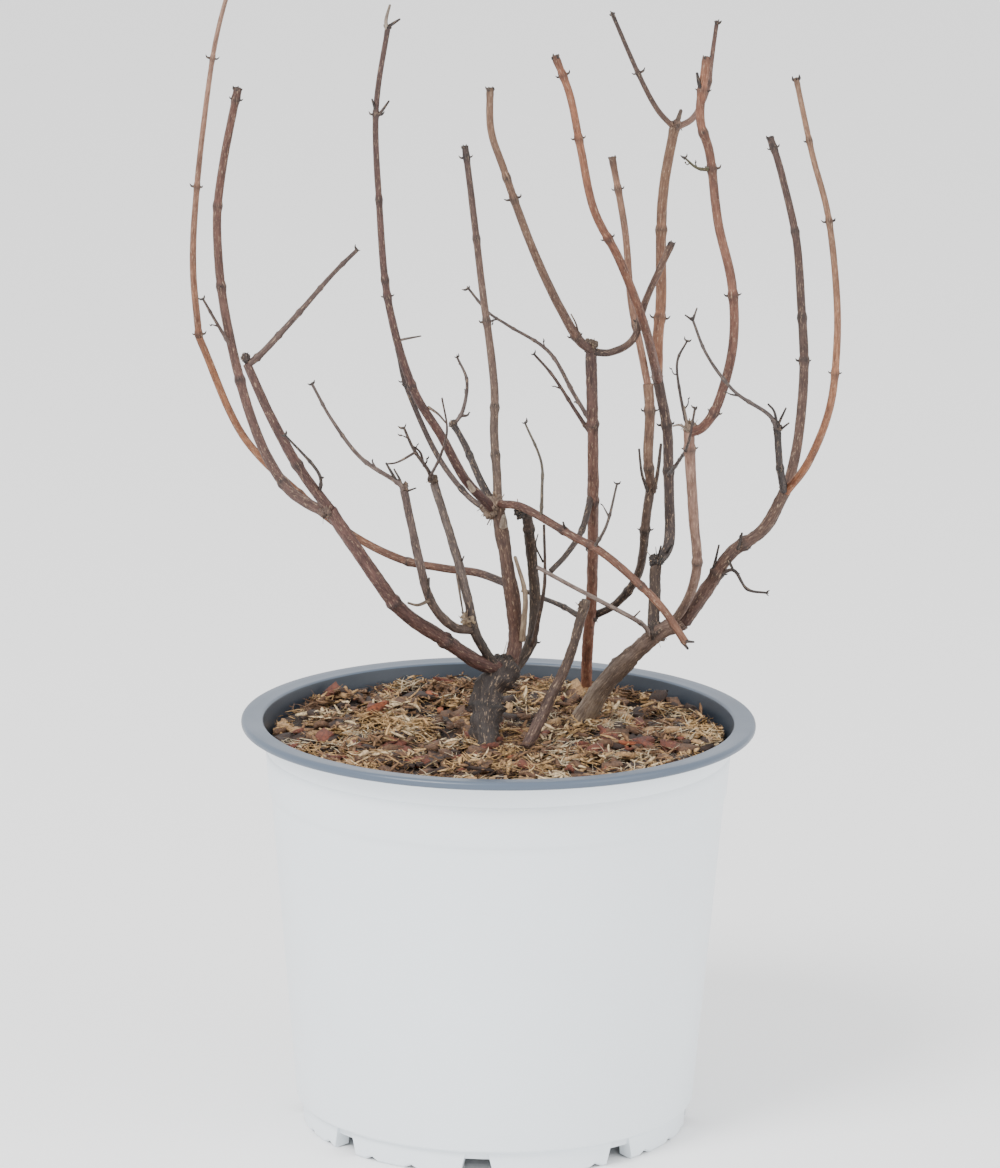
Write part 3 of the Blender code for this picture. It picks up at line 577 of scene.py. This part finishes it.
class Heap:
    """Many small shapes gathered into one mesh, with a tone and a grain at each point."""

    def __init__(self):
        self.points = []
        self.faces = []
        self.tones = []
        self.grains = []
        self.count = 0

    def add(self, points, faces, tones=None, grains=None):
        """Add a shape; without tones it is plain, and without grains its grain is its place."""
        self.faces += [[i + self.count for i in face] for face in faces]
        self.points.append(points)
        self.tones.append(np.ones((len(points), 3)) if tones is None else tones)
        self.grains.append(points if grains is None else grains)
        self.count += len(points)

    def piece(self, name, material, slot, nodes=()):
        """Make the heap one mesh and place it."""
        points = np.concatenate(self.points) * MM
        mesh = bpy.data.meshes.new(name)
        mesh.from_pydata(points.tolist(), [], self.faces)
        tone = mesh.attributes.new("tone", "FLOAT_COLOR", "POINT")
        colours = np.ones((len(points), 4), np.float32)
        colours[:, :3] = np.concatenate(self.tones) * BARK_SHARE
        tone.data.foreach_set("color", colours.ravel())
        grain = mesh.attributes.new("grain", "FLOAT_VECTOR", "POINT")
        grains = (np.concatenate(self.grains) * MM).astype(np.float32)
        grain.data.foreach_set("vector", grains.ravel())
        mesh.materials.append(material)
        mesh.shade_smooth()
        placed_piece(bpy.data.objects.new(name, mesh), nodes)


def placed_piece(obj, nodes=()):
    """Put a finished object in the scene, on the root body, in place of the solids it dresses."""
    bpy.context.scene.collection.objects.link(obj)
    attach(obj, "root")
    if nodes:
        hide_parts(*nodes)


def mesh_of(shape, name, crease=None):
    """A bmesh as a smooth mesh, with sharp edges past the crease, an angle in degrees."""
    mesh = bpy.data.meshes.new(name)
    shape.to_mesh(mesh)
    shape.free()
    mesh.shade_smooth()
    if crease:
        mesh.set_sharp_from_angle(angle=math.radians(crease))
    return mesh


def corners_and_faces(shape):
    """A bmesh as its corners and, by their numbers, its faces."""
    points = [vert.co.copy() for vert in shape.verts]
    faces = [[vert.index for vert in face.verts] for face in shape.faces]
    shape.free()
    return points, faces


def tube_faces(rings, sides):
    """The faces between rings of corners that are numbered one ring after another."""
    return [(i + k, i + (k + 1) % sides, i + sides + (k + 1) % sides, i + sides + k)
            for i in range(0, (rings - 1) * sides, sides) for k in range(sides)]


def plain_tones(tone, count):
    """One screen colour for a number of points."""
    return np.repeat([linear(tone)], count, axis=0)


def sideways(up, turn):
    """A direction at a right angle to another one, turned about it."""
    return Matrix.Rotation(turn, 3, up) @ up.orthogonal().normalized()


def swell(along, spot, width):
    """A bell-shaped share along a limb, 1 at a spot."""
    return np.exp(-((along - spot) / width) ** 2)


def sweep(heap, line, along, radii, sides, tones, rough=0.0, seed=0.0, blunt=0.5):
    """A tube round a line with ridges of bark, closed by points that stand out by blunt radii."""
    tangents = np.gradient(line, axis=0)
    tangents /= np.linalg.norm(tangents, axis=1)[:, None]
    side = np.cross(tangents[0], (0.3, 0.5, 0.81))
    side /= np.linalg.norm(side)
    turns = np.linspace(0, 2 * math.pi, sides, endpoint=False)
    points = []
    grains = []
    for i, (centre, tangent, radius) in enumerate(zip(line, tangents, radii)):
        side = side - tangent * side.dot(tangent)
        side /= np.linalg.norm(side)
        other = np.cross(tangent, side)
        for turn in turns:
            c, s = math.cos(turn), math.sin(turn)
            lift = 0.0
            if rough:
                ridge = noise.noise(Vector((c * 1.7 + seed, s * 1.7, along[i] * 0.07)))
                crack = noise.noise(Vector((c * 4.0, s * 4.0 + seed, along[i] * 0.22)))
                crumb = noise.noise(Vector((c * 6.0 + seed, s * 6.0, along[i] * 0.9)))
                lift = rough * (1.3 * ridge + 0.9 * crack + 0.5 * crumb)
            points.append(centre + radius * (1 + lift) * (c * side + s * other))
            grains.append((radii[0] * c + seed * 9, radii[0] * s, along[i]))
    first, last = len(points), len(points) + 1
    points.append(line[0] - tangents[0] * radii[0] * blunt)
    points.append(line[-1] + tangents[-1] * radii[-1] * blunt)
    grains += [(0, 0, along[0]), (0, 0, along[-1])]
    top = first - sides
    faces = tube_faces(len(line), sides)
    faces += [(first, (k + 1) % sides, k) for k in range(sides)]
    faces += [(last, top + k, top + (k + 1) % sides) for k in range(sides)]
    ring_tones = np.repeat(tones, sides, axis=0)
    ring_tones = np.concatenate([ring_tones, tones[:1], tones[-1:]])
    heap.add(np.array(points), faces, ring_tones, np.array(grains))


def bud(heap, rng, centre, out, up, size, tone):
    """A small hooked bud scale that stands out from a node and turns up."""
    reach = size * rng.uniform(0.8, 1.3)
    sway = Vector([rng.uniform(-1, 1) for _ in range(3)]) * 0.15 * reach
    knots = [centre, centre + out * reach * 0.6 + up * reach * 0.1,
             centre + out * reach * 0.95 + up * reach * 0.6 + sway]
    line, along = smooth_through(knots, reach / 5)
    shares = np.linspace(0, 1, len(line))
    radii = size * (0.28 + 0.1 * np.sin(shares * math.pi)) * (1 - 0.75 * shares)
    tones = plain_tones(tone, len(line))
    sweep(heap, line, along, radii, FINE_SIDES, tones, 0.05, rng.uniform(0, 9))


def node_places(rng, name, line, along):
    """Where buds sit along a limb, each with 1 where the pair spreads across the picture."""
    if name in NODES:
        picture = np.array([tuple(pictured(point)) for point in line])
        spots = []
        for column, row, spread in NODES[name]:
            nearest = np.linalg.norm(picture - (column, row), axis=1).argmin()
            spots.append((along[nearest], spread))
        return sorted(spots)
    if name.startswith("stem"):
        return []
    spots = []
    spot = rng.uniform(0.4, 0.8) * INTERNODE[0]
    while spot < along[-1] - BARE_TIP:
        spots.append((spot, len(spots) % 2))
        spot += rng.uniform(*INTERNODE)
    return spots


def limb(heap, buds, name, order):
    """A stem, bough or cane along its route, with its rings, bud pairs and cut or dried tip."""
    base, tip, low, high, rough, places = LIMBS[name]
    rng = random.Random(LIMB_SEED + order)
    line, along = smooth_route(places, STEM_STEP)
    length = along[-1]
    shares = along / length
    radii = (base + (tip - base) * shares) / 2
    low, high = np.array(linear(low)), np.array(linear(high))
    tones = low + (high - low) * shares[:, None] ** 0.8
    drift = np.array([noise.noise(Vector((order * 7.3, 0.3, s * 0.018))) for s in along])
    tones = tones * (1 + 0.45 * drift)[:, None]
    tangents = np.gradient(line, axis=0)
    for spot, spread in node_places(rng, name, line, along):
        ring = swell(along, spot, RING_WIDTH)
        groove = swell(along, spot + GROOVE_GAP, GROOVE_WIDTH)
        radii = radii * (1 + 0.22 * ring - 0.1 * groove)
        tones = tones * (1 - 0.5 * ring)[:, None] * (1 + 0.5 * groove)[:, None]
        i = min(int(np.searchsorted(along, spot)), len(line) - 1)
        bud_pair(buds, rng, line[i], Vector(tangents[i]).normalized(), radii[i], spread)
    if name.startswith("cane"):
        dried = np.clip((along - length) / TIP_LENGTH + 1, 0, 1)
        tones = tones * (1 - 0.55 * dried)[:, None]
        radii = radii * (1 + 0.12 * swell(along, length - TIP_SWELL, RING_WIDTH))
        up = Vector(tangents[-1]).normalized()
        for k in range(4):
            out = sideways(up, k * 1.7 + order)
            start = Vector(line[-1]) - up * 0.8 + out * radii[-1] * 0.6
            bud(buds, rng, start, out * 0.45, up, rng.uniform(1.3, 2.6), TIP_BUD)
    sweep(heap, line, along, radii, STEM_SIDES, tones, rough, order * 1.7, 0.25)


def bud_pair(buds, rng, centre, up, radius, spread):
    """Two opposite buds at a node, spread across the picture or along its depth."""
    across = Vector((1, 0, 0)) if spread else Vector((0, 1, 0))
    out = (across - up * across.dot(up)).normalized()
    sizes = (1.2, 2.0) if spread else (0.8, 1.3)
    for way in (out, -out):
        if rng.random() < BUD_CHANCE:
            start = Vector(centre) + way * radius * 0.8
            bud(buds, rng, start, way, up, rng.uniform(*sizes), NODE_BUD)


def knot(heap, flakes, rng, place, radius, tone, count):
    """A lumpy knot of old bark with flakes that peel from it."""
    centre = seen(*place)
    shape = bmesh.new()
    bmesh.ops.create_icosphere(shape, subdivisions=4, radius=1.0)
    corners, faces = corners_and_faces(shape)
    points = []
    for p in [corner.normalized() for corner in corners]:
        lift = 1 + 0.5 * noise.noise(p * 1.6 + centre) + 0.3 * noise.noise(p * 4.1 + centre)
        lift += 0.12 * noise.noise(p * 10 + centre)
        points.append(tuple(centre + p * radius * 0.72 * lift))
    shade = np.clip([1 + 0.8 * noise.noise(Vector(p) * 0.5) for p in points], 0.35, 1.6)
    heap.add(np.array(points), faces, np.array(linear(tone)) * shade[:, None])
    for _ in range(count):
        out = Vector([rng.gauss(0, 1) for _ in range(3)]).normalized()
        flake(flakes, rng, centre + out * radius * 0.62, out, rng.uniform(0.6, 1.3) * radius)


def flake(heap, rng, start, out, length):
    """A thin strip of bark that curls away."""
    lean = (out * 0.35 + Vector((rng.uniform(-0.5, 0.5), rng.uniform(-0.5, 0.5), 1.0))).normalized()
    if rng.random() < 0.4:
        lean.z *= -1
    across = lean.cross(out).normalized()
    width = rng.uniform(0.5, 1.3)
    points = []
    for t in np.linspace(0, 1, STRIP_RINGS):
        centre = start + lean * length * (t - 0.4) + out * length * 0.35 * (t - 0.3) ** 2
        half = width * (1 - 0.6 * t) * 0.5
        for corner in (across * half + out * 0.14, -across * half + out * 0.14, -out * 0.18):
            points.append(tuple(centre + corner))
    faces = tube_faces(STRIP_RINGS, 3) + [(2, 1, 0), (12, 13, 14)]
    heap.add(np.array(points), faces, plain_tones(rng.choice(FLAKE_TONES), len(points)))


def twig_mass(heap, buds, name, order):
    """A main twig that thins to its tip, with side twigs and buds."""
    width, count, tone, places = TWIGS[name]
    rng = random.Random(TWIG_SEED + order)
    line, along = smooth_route(places, TWIG_STEP)
    shares = along / along[-1]
    radii = width / 2 * (1 - 0.45 * shares)
    tones = np.array(linear(tone)) * (1.05 - 0.35 * shares)[:, None]
    for spot in np.arange(6.0, along[-1] - 3, rng.uniform(*TWIG_RING_GAP)):
        radii = radii * (1 + 0.3 * swell(along, spot, TWIG_RING_WIDTH))
    sweep(heap, line, along, radii, TWIG_SIDES, tones, 0.08, order * 2.3, 0.6)
    tangents = np.gradient(line, axis=0)
    for side in range(count):
        i = int(len(line) * (side + rng.uniform(0.3, 0.9)) / (count + 0.4))
        i = min(max(i, 2), len(line) - 3)
        up = Vector(tangents[i]).normalized()
        out = sideways(up, rng.uniform(0, 2 * math.pi))
        reach = rng.uniform(*SIDE_TWIG_LENGTHS) * (0.45 if side % 2 else 0.8)
        start = Vector(line[i])
        bend = Vector([rng.uniform(-0.2, 0.2) for _ in range(3)]) * reach
        knots = [start, start + reach * (0.3 * up + 0.4 * out) + bend,
                 start + reach * (0.75 * up + 0.65 * out)]
        path, run = smooth_through(knots, TWIG_STEP)
        part = run / run[-1]
        thin = radii[i] * 0.7 * (1 - 0.6 * part)
        colours = np.array(linear(tone)) * (0.95 - 0.35 * part)[:, None]
        sweep(heap, path, run, thin, FINE_SIDES, colours, 0.06, side * 3.1, 0.8)
        bud(buds, rng, Vector(path[-1]), out, up, rng.uniform(0.9, 1.5), SIDE_TWIG_BUD)
    end = Vector(tangents[-1]).normalized()
    for k in range(3):
        out = sideways(end, k * 2.1)
        bud(buds, rng, Vector(line[-1]), out, end, rng.uniform(1.2, 2.2), TWIG_BUD)


def twiglet(heap, order, width, tone, places):
    """A short bare twig or stub."""
    line, along = smooth_route(places, TWIGLET_STEP)
    shares = along / along[-1]
    radii = width / 2 * (1.1 - 0.5 * shares)
    tones = np.array(linear(tone)) * (1 - 0.3 * shares)[:, None]
    sweep(heap, line, along, radii, TWIG_SIDES, tones, 0.12, order * 1.3, 0.7)


def turned(outline, steps):
    """An outline of radius and height in millimetres, turned about the pot's axis, as a bmesh."""
    shape = bmesh.new()
    verts = [shape.verts.new((radius * MM, 0, height * MM)) for radius, height in outline]
    edges = [shape.edges.new(pair) for pair in zip(verts, verts[1:])]
    bmesh.ops.spin(shape, geom=verts + edges, cent=(0, 0, 0), axis=(0, 0, 1),
                   angle=2 * math.pi, steps=steps, use_merge=True)
    bmesh.ops.remove_doubles(shape, verts=shape.verts, dist=MERGE)
    return shape


def rounded(centre, radius, start, end, steps=5):
    """Points of an arc about a centre, from one angle to another, in degrees."""
    turns = np.radians(np.linspace(start, end, steps))
    return [(centre[0] + radius * math.cos(t), centre[1] + radius * math.sin(t)) for t in turns]


class PotSizes(bpy.types.PropertyGroup):
    """The pot's sizes and colours"""

    rim_radius: FloatProperty(name="Rim radius", description="Outer radius of the rim",
                              default=0.113, unit="LENGTH")
    height: FloatProperty(name="Height", description="Height of the pot", default=0.183,
                          unit="LENGTH")
    foot_radius: FloatProperty(name="Foot radius", description="Outer radius of the foot ring",
                               default=0.0855, unit="LENGTH")
    foot_height: FloatProperty(name="Foot height", description="Height of the foot ring",
                               default=0.011, unit="LENGTH")
    wall_foot: FloatProperty(name="Wall foot radius", description="Radius at the wall's foot",
                             default=0.088, unit="LENGTH")
    wall_top: FloatProperty(name="Wall top radius", description="Radius at the wall's top",
                            default=0.1026, unit="LENGTH")
    notches: IntProperty(name="Foot notches", description="Drain notches in the foot ring",
                         default=8, min=2)
    wall_colour: FloatVectorProperty(name="Wall colour", description="Colour of the wall",
                                     default=(0.906, 0.933, 0.953), subtype="COLOR_GAMMA",
                                     min=0, max=1)
    rim_colour: FloatVectorProperty(name="Rim colour", description="Colour of the rolled rim",
                                    default=(0.286, 0.333, 0.392), subtype="COLOR_GAMMA",
                                    min=0, max=1)
    inside_colour: FloatVectorProperty(name="Inside colour",
                                       description="Colour of the wall inside",
                                       default=(0.157, 0.188, 0.227), subtype="COLOR_GAMMA",
                                       min=0, max=1)


class MulchSizes(bpy.types.PropertyGroup):
    """How the mulch fills the pot"""

    height: FloatProperty(name="Mulch height", description="Height of the mulch's surface",
                          default=0.175, unit="LENGTH")
    radius: FloatProperty(name="Mulch radius", description="Radius of the mulch's surface",
                          default=0.0995, unit="LENGTH")
    chips: IntProperty(name="Chips", description="Number of bark chips", default=1500, min=0)
    shreds: IntProperty(name="Shreds", description="Number of wide wood shreds", default=5200,
                        min=0)
    fibres: IntProperty(name="Fibres", description="Number of loose fibres", default=5200, min=0)


def millimetres(sizes, *names):
    """The named lengths of a property group, in millimetres."""
    return [round(getattr(sizes, name) / MM, 3) for name in names]


class MakePot(bpy.types.Operator):
    """Turn the pot's wall and rim, and set its castellated foot"""

    bl_idname = "shrub.make_pot"
    bl_label = "Make pot"

    def execute(self, context):
        sizes = context.scene.shrub_pot
        rim, top, foot, foot_top, wall_foot, wall_top = millimetres(
            sizes, "rim_radius", "height", "foot_radius", "foot_height", "wall_foot", "wall_top")
        lip = top - RIM_DEPTH
        edge = rim - UNDER_ROLL
        floor = FLOOR_RISE + FLOOR_THICKNESS

        def wall(height, out=0.0):
            slope = (wall_top - wall_foot) / (top - foot_top)
            return wall_foot + slope * (height - foot_top) + out, height

        # From the middle of the underside, round the wall's foot and up past the collar
        outline = [(0, FLOOR_RISE), (foot - 2, FLOOR_RISE), (foot - 1, 9.5)]
        outline += rounded((wall_foot - 1.3, foot_top + 1.4), 1.4, -80, 0)
        outline += [wall(height) for height in np.linspace(24, 147, 8)]
        outline += [wall(height, out) for height, out in COLLAR]
        # Out under the rim, round its rolled edge and over its top to the inner lip
        outline += [(104.2, lip - 0.4), (edge - 0.6, lip - 0.4)]
        outline += rounded((edge, lip + 1.2), UNDER_ROLL, -90, 0)
        outline += rounded((rim - RIM_ROLL, top - RIM_ROLL), RIM_ROLL, 0, 95)
        outline += [(108.2, top - 0.25), (105.2, top - 0.5)]
        outline += rounded((104.6, top - LIP_ROLL - 0.5), LIP_ROLL, 90, 180, 4)
        # Down the inner wall and back over the floor
        outline += [(102.4, 178.0), (101.2, 174.0), (100.2, 166.0), wall(20, -WALL_THICKNESS)]
        outline += [(foot - 4, floor), (0, floor)]
        shape = turned(outline, SPIN_STEPS)
        bmesh.ops.recalc_face_normals(shape, faces=shape.faces)
        mesh = mesh_of(shape, "pot_wall", 40)
        finishes = (("pot_wall_plastic", sizes.wall_colour, 0.36),
                    ("pot_rim_plastic", sizes.rim_colour, 0.34),
                    ("pot_inside_plastic", sizes.inside_colour, 0.4))
        for name, colour, roughness in finishes:
            mesh.materials.append(plastic_finish(name, [255 * c for c in colour], roughness))
        for face in mesh.polygons:
            middle = face.center / MM
            inwards = face.normal.xy.dot(middle.xy) < 0
            if middle.z > lip - 0.7 and middle.xy.length > RIM_START:
                face.material_index = 1
            elif middle.z > 20 and inwards:
                face.material_index = 2
        placed_piece(bpy.data.objects.new("pot_wall", mesh), ["pot"])
        foot_mesh = self.foot(sizes.notches, foot, foot_top)
        foot_mesh.materials.append(mesh.materials[0])
        placed_piece(bpy.data.objects.new("pot_foot", foot_mesh))
        return {"FINISHED"}

    def foot(self, notches, radius, top):
        """A mesh of blocks that stand out below the wall, with drain notches between them."""
        shape = bmesh.new()
        pitch = 2 * math.pi / notches
        at_floor, between, at_wall = NOTCH_HALVES
        profile = [(FOOT_INNER, 1.0), (radius - 1.4, 0.0), (radius - 0.4, 1.0), (radius, top),
                   (FOOT_INNER + 1, top)]
        for index in range(notches):
            middle = FIRST_NOTCH + (index + 0.5) * pitch
            before = None
            for step in range(-BLOCK_STEPS, BLOCK_STEPS + 1):
                ring = []
                for reach, height in profile:
                    low = height < 2
                    half = between
                    if abs(step) == BLOCK_STEPS:
                        half = at_floor if low else at_wall
                    turn = middle + step / BLOCK_STEPS * (pitch / 2 - half)
                    nick = NICK_HEIGHT if low and step in NICKED_STEPS else 0.0
                    place = (reach * math.cos(turn), reach * math.sin(turn), height + nick)
                    ring.append(shape.verts.new(Vector(place) * MM))
                if before:
                    for a, b, c, d in zip(before, before[1:] + before[:1],
                                          ring[1:] + ring[:1], ring):
                        shape.faces.new((a, b, c, d))
                else:
                    shape.faces.new(ring)
                before = ring
            shape.faces.new(before)
        bmesh.ops.recalc_face_normals(shape, faces=shape.faces)
        return mesh_of(shape, "pot_foot", 35)


class MakeMulch(bpy.types.Operator):
    """Fill the pot with soil and cover it with bark chips and shredded fibres"""

    bl_idname = "shrub.make_mulch"
    bl_label = "Make mulch"

    def execute(self, context):
        sizes = context.scene.shrub_mulch
        height, radius = millimetres(sizes, "height", "radius")
        totals = {"chip": sizes.chips, "shred": sizes.shreds, "fibre": sizes.fibres}
        self.bed(height, radius)
        tuft = Vector((0, 0, 0))
        rng = random.Random(MULCH_SEED)
        chip = self.chip_shape()
        for name, (colour, kind, share, patchy) in LITTER.items():
            heap = Heap()
            seed = len(name) * 7.1
            for _ in range(int(totals[kind] * share)):
                if kind == "chip" or rng.random() < NEW_TUFT_CHANCE:
                    spot = self.spot(rng, height, radius, patchy, seed)
                    tuft = spot
                else:
                    spot = tuft + Vector([rng.gauss(0, s) for s in TUFT_SCATTER])
                if kind == "chip":
                    self.chip(heap, rng, chip, spot)
                else:
                    self.fibre(heap, rng, spot, kind == "shred")
            heap.piece(name, litter_finish(name, colour), "mulch")
        return {"FINISHED"}

    def within(self, points):
        """The points, drawn in to the pot's inner wall where they reach past it."""
        reach = np.hypot(points[:, 0], points[:, 1])
        points[:, :2] *= np.minimum(1, MULCH_REACH / np.maximum(reach, 1))[:, None]
        return points

    def lumps(self, x, y):
        """How far the mulch's surface rises or falls at a place."""
        place = Vector((x, y, 0))
        return 2.6 * noise.noise(place * 0.045) + 2.0 * noise.noise(place * 0.11)

    def spot(self, rng, height, radius, patchy, seed):
        """A place on the surface, inside the patches of one kind of mulch."""
        while True:
            reach = radius * math.sqrt(rng.random()) * 0.985
            turn = rng.uniform(0, 2 * math.pi)
            x, y = reach * math.cos(turn), reach * math.sin(turn)
            if noise.noise(Vector((x * 0.07 + seed, y * 0.07, seed))) > patchy:
                return Vector((x, y, height + self.lumps(x, y)))

    def bed(self, height, radius):
        """The soil under the litter: it fills the pot, and its top is lumpy."""
        top = [(radius * (1 - k / SOIL_RINGS), height) for k in range(SOIL_RINGS)]
        shape = turned(SOIL_SIDE + top, SOIL_STEPS)
        bmesh.ops.holes_fill(shape, edges=shape.edges)
        for vert in shape.verts:
            x, y, z = vert.co / MM
            on_top = z > height - 1
            if on_top:
                crumb = 1.1 * noise.noise(Vector((x, y, 3)) * 0.35)
                vert.co.z = (height - SOIL_SINK + self.lumps(x, y) + crumb) * MM
        bmesh.ops.recalc_face_normals(shape, faces=shape.faces)
        mesh = mesh_of(shape, "soil_bed")
        mesh.materials.append(litter_finish("soil", SOIL_COLOUR))
        placed_piece(bpy.data.objects.new("soil_bed", mesh), ["growing_medium"])

    def chip_shape(self):
        """A block of 26 corners that each chip bends its own way."""
        shape = bmesh.new()
        bmesh.ops.create_cube(shape, size=1)
        bmesh.ops.subdivide_edges(shape, edges=shape.edges, cuts=1, use_grid_fill=True)
        return corners_and_faces(shape)

    def chip(self, heap, rng, chip, spot):
        """A ragged chip of bark that lies nearly flat."""
        points, faces = chip
        long = rng.choice((3.0, 4.5, 6.0, 9.0)) * rng.uniform(0.8, 1.3)
        size = Vector((long, long * rng.uniform(0.4, 0.8), long * rng.uniform(0.16, 0.34)))
        turn = Matrix.Rotation(rng.uniform(0, 6.3), 3, "Z")
        roll = Matrix.Rotation(rng.gauss(0, CHIP_LEAN), 3, "X")
        pitch = Matrix.Rotation(rng.gauss(0, CHIP_LEAN), 3, "Y")
        centre = spot + Vector((0, 0, rng.uniform(-0.6, 1.6)))
        seed = Vector((rng.uniform(0, 90), 0, 0))
        made = []
        for p in points:
            ragged = 1 + 0.55 * noise.noise(p * 2.3 + seed)
            soft = 0.86 if p.length > 0.8 else 1.0
            made.append(tuple(centre + turn @ roll @ pitch @ (p * size * ragged * soft)))
        heap.add(self.within(np.array(made)), faces)

    def fibre(self, heap, rng, spot, wide):
        """A bent strip that tapers to both ends, as a wide shred of wood or a thin fibre."""
        length = rng.uniform(3.5, 9.0) if wide else rng.uniform(3.0, 12.0)
        turn = rng.uniform(0, 6.3)
        rise = rng.gauss(0.1, 0.35) if wide else rng.gauss(0.12, 0.3)
        way = Vector((math.cos(turn), math.sin(turn), rise)).normalized()
        bend = Vector((-way.y, way.x, rng.uniform(-0.3, 0.8))) * rng.uniform(-0.5, 0.5) * length
        width = rng.uniform(0.4, 1.5) if wide else rng.uniform(0.12, 0.34)
        start = spot + Vector((0, 0, rng.uniform(0.0, 2.6)))
        across = Vector((-way.y, way.x, rng.uniform(-0.9, 0.9))).normalized()
        points = []
        for t in np.linspace(-0.5, 0.5, STRIP_RINGS):
            centre = start + way * length * t + bend * (0.25 - t * t)
            half = width * (1 - abs(t) * 1.2)
            thick = 0.22 if wide else half * 0.6
            for corner in (across * half, Vector((0, 0, thick)), across * -half):
                points.append(tuple(centre + corner))
        faces = [(a, d, c, b) for a, b, c, d in tube_faces(STRIP_RINGS, 3)]
        heap.add(self.within(np.array(points)), faces + [(0, 1, 2), (14, 13, 12)])


class MakeLimbs(bpy.types.Operator):
    """Grow the stems, boughs and canes with their bark, nodes, buds and knots"""

    bl_idname = "shrub.make_limbs"
    bl_label = "Make limbs"

    def execute(self, context):
        bark = bark_finish()
        buds = Heap()
        flakes = Heap()
        for kinds, piece in ((("stump", "stem"), "stems"), ("bough", "boughs"), ("cane", "canes")):
            heap = Heap()
            chosen = [name for name in LIMBS if name.startswith(kinds)]
            for name in chosen:
                limb(heap, buds, name, list(LIMBS).index(name))
            heap.piece(piece, bark, "bark", chosen)
        rng = random.Random(KNOT_SEED)
        knots = Heap()
        for each in KNOTS:
            knot(knots, flakes, rng, *each)
        knots.piece("knots", bark, "bark")
        flakes.piece("bark_flakes", bark, "bark")
        buds.piece("buds", bark, "bark")
        return {"FINISHED"}


class MakeTwigs(bpy.types.Operator):
    """Grow the masses of fine twigs"""

    bl_idname = "shrub.make_twigs"
    bl_label = "Make twigs"

    def execute(self, context):
        bark = bpy.data.materials["bark_skin"]
        heap = Heap()
        buds = Heap()
        for order, name in enumerate(TWIGS):
            twig_mass(heap, buds, name, order)
        for order, each in enumerate(TWIGLETS):
            twiglet(heap, order, *each)
        heap.piece("fine_twigs", bark, "twig", list(TWIGS))
        buds.piece("twig_buds", bark, "twig")
        return {"FINISHED"}


def area_light(name, place, size, power):
    """A round soft light that points at the middle of the plant."""
    light = bpy.data.lights.new(name, "AREA")
    light.shape = "DISK"
    light.size = size
    light.energy = power
    obj = bpy.data.objects.new(name, light)
    bpy.context.scene.collection.objects.link(obj)
    obj.location = place
    toward = Vector((0, 0, LIGHT_AIM)) - Vector(place)
    obj.rotation_euler = toward.to_track_quat("-Z", "Y").to_euler()


class MakeStage(bpy.types.Operator):
    """Set the floor, the soft studio light and the camera"""

    bl_idname = "shrub.make_stage"
    bl_label = "Make stage"

    def execute(self, context):
        shape = bmesh.new()
        bmesh.ops.create_grid(shape, x_segments=1, y_segments=1, size=20)
        floor = bpy.data.objects.new("floor", mesh_of(shape, "floor"))
        context.scene.collection.objects.link(floor)
        floor.data.materials.append(Shading("floor_paper", 0.9).finish(PAPER))
        world = bpy.data.worlds.new("studio")
        world.use_nodes = True
        sky = world.node_tree.nodes["Background"]
        sky.inputs["Color"].default_value = (1, 1, 1, 1)
        sky.inputs["Strength"].default_value = SKY_STRENGTH
        context.scene.world = world
        area_light("key_light", (-1.3, -1.6, 2.2), size=1.2, power=85)
        area_light("fill_light", (1.8, -1.2, 1.2), size=1.6, power=20)
        lens = bpy.data.cameras.new("camera")
        lens.sensor_width = SENSOR
        lens.lens = FOCAL * SENSOR / FRAME_HEIGHT
        lens.clip_end = 100
        camera = bpy.data.objects.new("camera", lens)
        context.scene.collection.objects.link(camera)
        camera.location = EYE * MM
        aim = FORWARD.to_track_quat("-Z", "Y").to_matrix()
        camera.rotation_euler = (aim @ Matrix.Rotation(ROLL, 3, "Z")).to_euler()
        context.scene.camera = camera
        return {"FINISHED"}


class ShrubPanel(bpy.types.Panel):
    """The sidebar's list of pieces to make, with their sizes and colours"""

    bl_label = "Potted hydrangea"
    bl_idname = "VIEW3D_PT_shrub"
    bl_space_type = "VIEW_3D"
    bl_region_type = "UI"
    bl_category = "Shrub"

    def draw(self, context):
        for operator in OPERATORS:
            self.layout.operator(operator.bl_idname)
        for sizes in (context.scene.shrub_pot, context.scene.shrub_mulch):
            for name in sizes.bl_rna.properties.keys():
                if name not in ("rna_type", "name"):
                    self.layout.prop(sizes, name)


OPERATORS = (MakePot, MakeMulch, MakeLimbs, MakeTwigs, MakeStage)
CLASSES = (PotSizes, MulchSizes, *OPERATORS, ShrubPanel)


def register():
    for each in CLASSES:
        bpy.utils.register_class(each)
    bpy.types.Scene.shrub_pot = PointerProperty(type=PotSizes)
    bpy.types.Scene.shrub_mulch = PointerProperty(type=MulchSizes)


def unregister():
    del bpy.types.Scene.shrub_mulch
    del bpy.types.Scene.shrub_pot
    for each in reversed(CLASSES):
        bpy.utils.unregister_class(each)


def main():
    register()
    bpy.ops.shrub.make_pot()
    bpy.ops.shrub.make_mulch()
    bpy.ops.shrub.make_limbs()
    bpy.ops.shrub.make_twigs()
    bpy.ops.shrub.make_stage()


if __name__ == "__main__":
    main()
